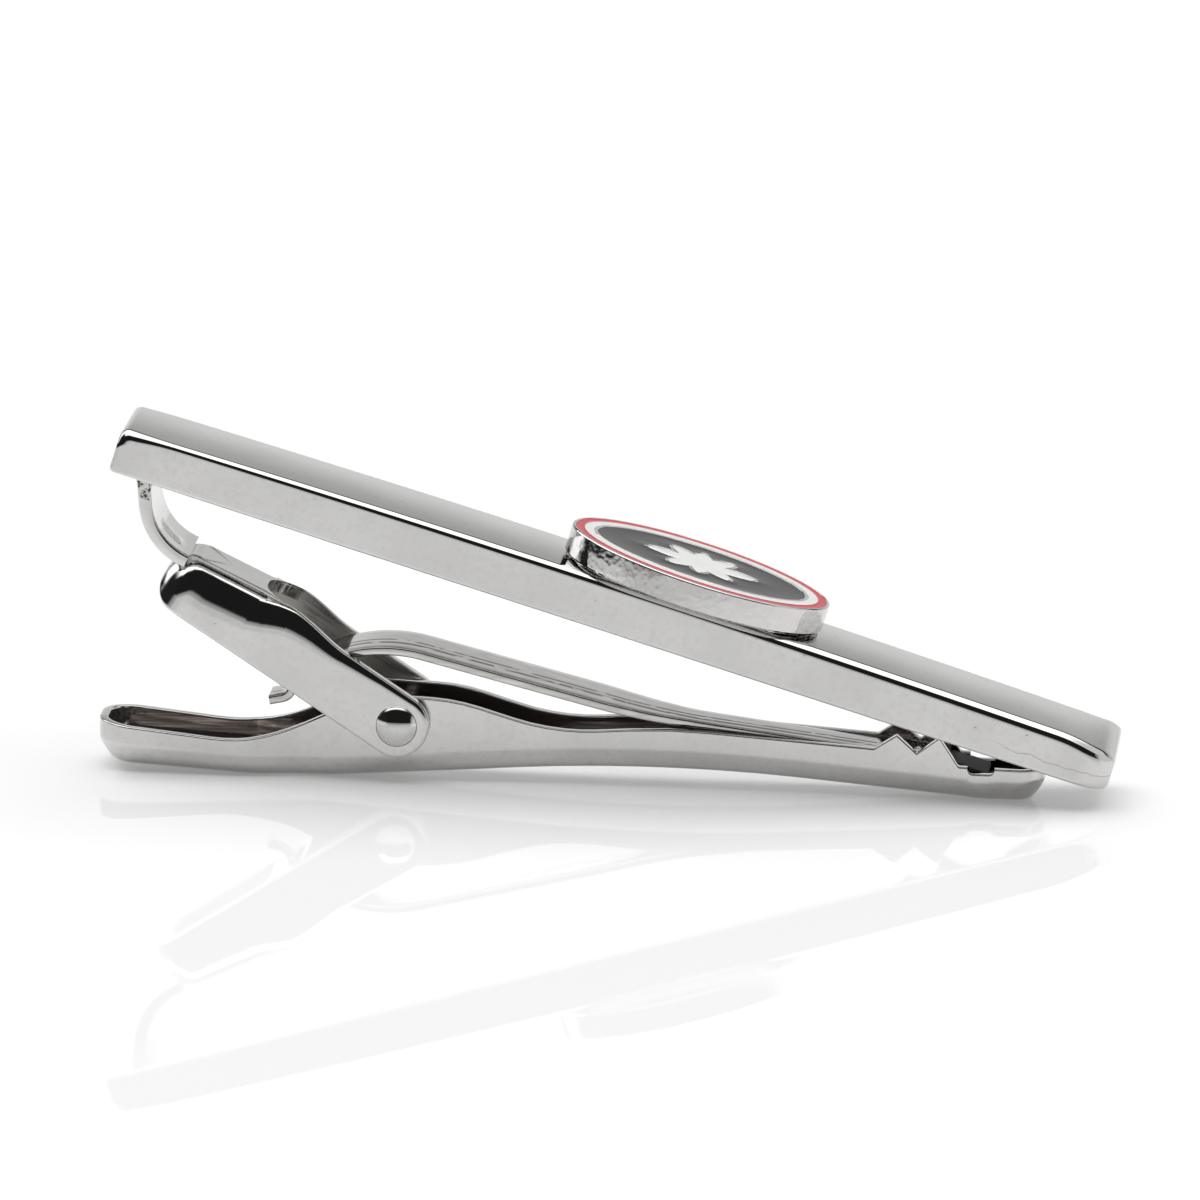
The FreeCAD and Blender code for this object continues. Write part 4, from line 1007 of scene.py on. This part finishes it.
def make_spring():
    """Bowed strip along its side path, with a half width that flares, tapers and ends in two lugs."""
    def from_arms(back, rise):
        x = rise * sin(ARM_SLOPE) - back * cos(ARM_SLOPE)
        return x, HINGE[2] + back * sin(ARM_SLOPE) + rise * cos(ARM_SLOPE)

    hook = SPRING_HOOK * sin(radians(45))
    path = rounded_path([
        from_arms(SLOT_STATION + hook, SPRING_TAIL - hook), (*from_arms(SLOT_STATION, SPRING_TAIL), 0.5),
        (*from_arms(SLOT_STATION, SPRING_NECK), 1.5), (-1.82, 7.65, 7.8), (13.95, 3.78, 40.0),
        (28.3, 2.08, 3.0), (30.7, 1.35),
    ], radians(1.5))
    plan = np.array([
        (-9, 1.1), (-4.65, 1.1), (-4.5, 1.15), (-3.5, 1.85), (-3.3, 1.9), (10, 1.9), (11, 1.86), (15, 1.28),
        (16, 1.25), (29.499, 1.25), (29.5, 1.38), (31, 1.38),
    ])
    stops = np.interp(plan[1:-1, 0], path[:, 0], measured(path))
    path = filled(path, SPRING_SPACING, stops)
    half_width = np.interp(path[:, 0], plan[:, 0], plan[:, 1])
    grid = on_floor(capped(strip_grid(path, SPRING_SHEET, half_width, SPRING_EDGE)))
    # the spring's nose end is marked, to be painted dark as shade
    shell = closed_shell(grid, inside=grid[..., 0] > HINGE[0] + DARK_NOSE)
    piece = make_piece("bowed_spring", [shell], "leaf_spring", spring_finish, body=None)
    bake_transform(piece)


make_piece("polished_bar", [bar_shell()], "front_bar", bar_plating, crease=75)
make_emblem()
make_solder()
make_bracket()
make_braze()
make_rivet()
make_jaw()
make_spring()


# Stage: pale floor, soft studio light and the camera

def make_floor():
    """Pale, faintly glossy table that shows as white, also in reflections, and keeps the shadow."""
    half, grey, glow = 2.0, 0.86, 0.17
    corners = [(-half, -half, 0), (half, -half, 0), (half, half, 0), (-half, half, 0)]
    mesh = bpy.data.meshes.new("table")
    mesh.from_pydata(corners, [], [(0, 1, 2, 3)])
    table = bpy.data.objects.new("table", mesh)
    bpy.context.scene.collection.objects.link(table)
    finish = new_finish("pale_table")
    camera, glossy, through = (
        finish.node("ShaderNodeLightPath", output=kind)
        for kind in ("Is Camera Ray", "Is Glossy Ray", "Is Transmission Ray")
    )
    table.data.materials.append(finish.surface(
        Base_Color=(grey, grey, grey, 1), Roughness=0.02, IOR=1.2,
        Emission_Color=finish.grey(glow * (camera + glossy + through)), Emission_Strength=1.0,
    ))


def make_light():
    """Studio round the X axis, by the turn from the back horizon over the top to the front, in degrees.

    Pale wall behind, a dark gap, a wide soft light above that fades towards the nose, and a dark room in
    front with a paler horizon. The thumb side is dark but for its horizon and a lamp, the nose side pale.
    """
    pale, horizon, lamp = 0.8, 0.45, 1.9
    finish = Finish(bpy.data.worlds.new("studio"))
    bpy.context.scene.world = finish.owner
    x, y, z = finish.axes(finish.node("ShaderNodeTexCoord", output="Generated"))
    turn = finish.node("ShaderNodeMath", {"operation": "ARCTAN2"}, {0: z, 1: y}) * (180 / pi)
    level = pale - 0.3 * finish.step(turn, 8, 22) - 0.485 * finish.step(turn, 24, 31)
    overhead = finish.step(turn, 39, 46) - finish.step(turn, 113, 121)
    overhead = overhead * (1 - 0.6 * finish.step(x, 0.36, 0.55))
    level = level + 2.05 * overhead + horizon * finish.step(turn, 170, 177)
    thumb_side = finish.step(0 - x, 0.55, 0.8)
    thumb_lamp = finish.step(z, 0.25, 0.4) * finish.step(y, 0.05, 0.3)
    thumb_level = pale - 0.78 * finish.step(z, 0.05, 0.15) + lamp * thumb_lamp
    level = level * (1 - thumb_side) + thumb_level * thumb_side
    nose_side = finish.step(x, 0.76, 0.92)
    level = level * (1 - nose_side) + pale * nose_side
    finish.surface(Color=finish.grey(level), Strength=1.0)


def make_camera():
    """Long lens at the photograph's angle: right of the front, above the table, tipped a little."""
    azimuth, elevation, roll = radians(4.6), radians(13.7), radians(1.0)
    target, distance = np.array([15.43, 0.0, 9.56]), 600.0
    sensor, picture_pixels, focal_pixels = 36, 1200, 11640
    back = np.array([
        sin(azimuth) * cos(elevation), -cos(azimuth) * cos(elevation), sin(elevation),
    ])
    level = np.array([cos(azimuth), sin(azimuth), 0])
    lift = np.cross(back, level)
    right = level * cos(roll) + lift * sin(roll)
    up = lift * cos(roll) - level * sin(roll)
    camera = bpy.data.cameras.new("camera")
    camera.sensor_width = sensor
    camera.lens = sensor * focal_pixels / picture_pixels
    camera.clip_start, camera.clip_end = 0.01, 20
    holder = bpy.data.objects.new("camera", camera)
    bpy.context.scene.collection.objects.link(holder)
    place = (target + back * distance) * MM
    holder.matrix_world = Matrix([
        *[(*row, shift) for row, shift in zip(np.stack([right, up, back], 1), place)], (0, 0, 0, 1),
    ])
    bpy.context.scene.camera = holder


make_floor()
make_light()
make_camera()
bpy.context.scene.view_settings.view_transform = "Standard"
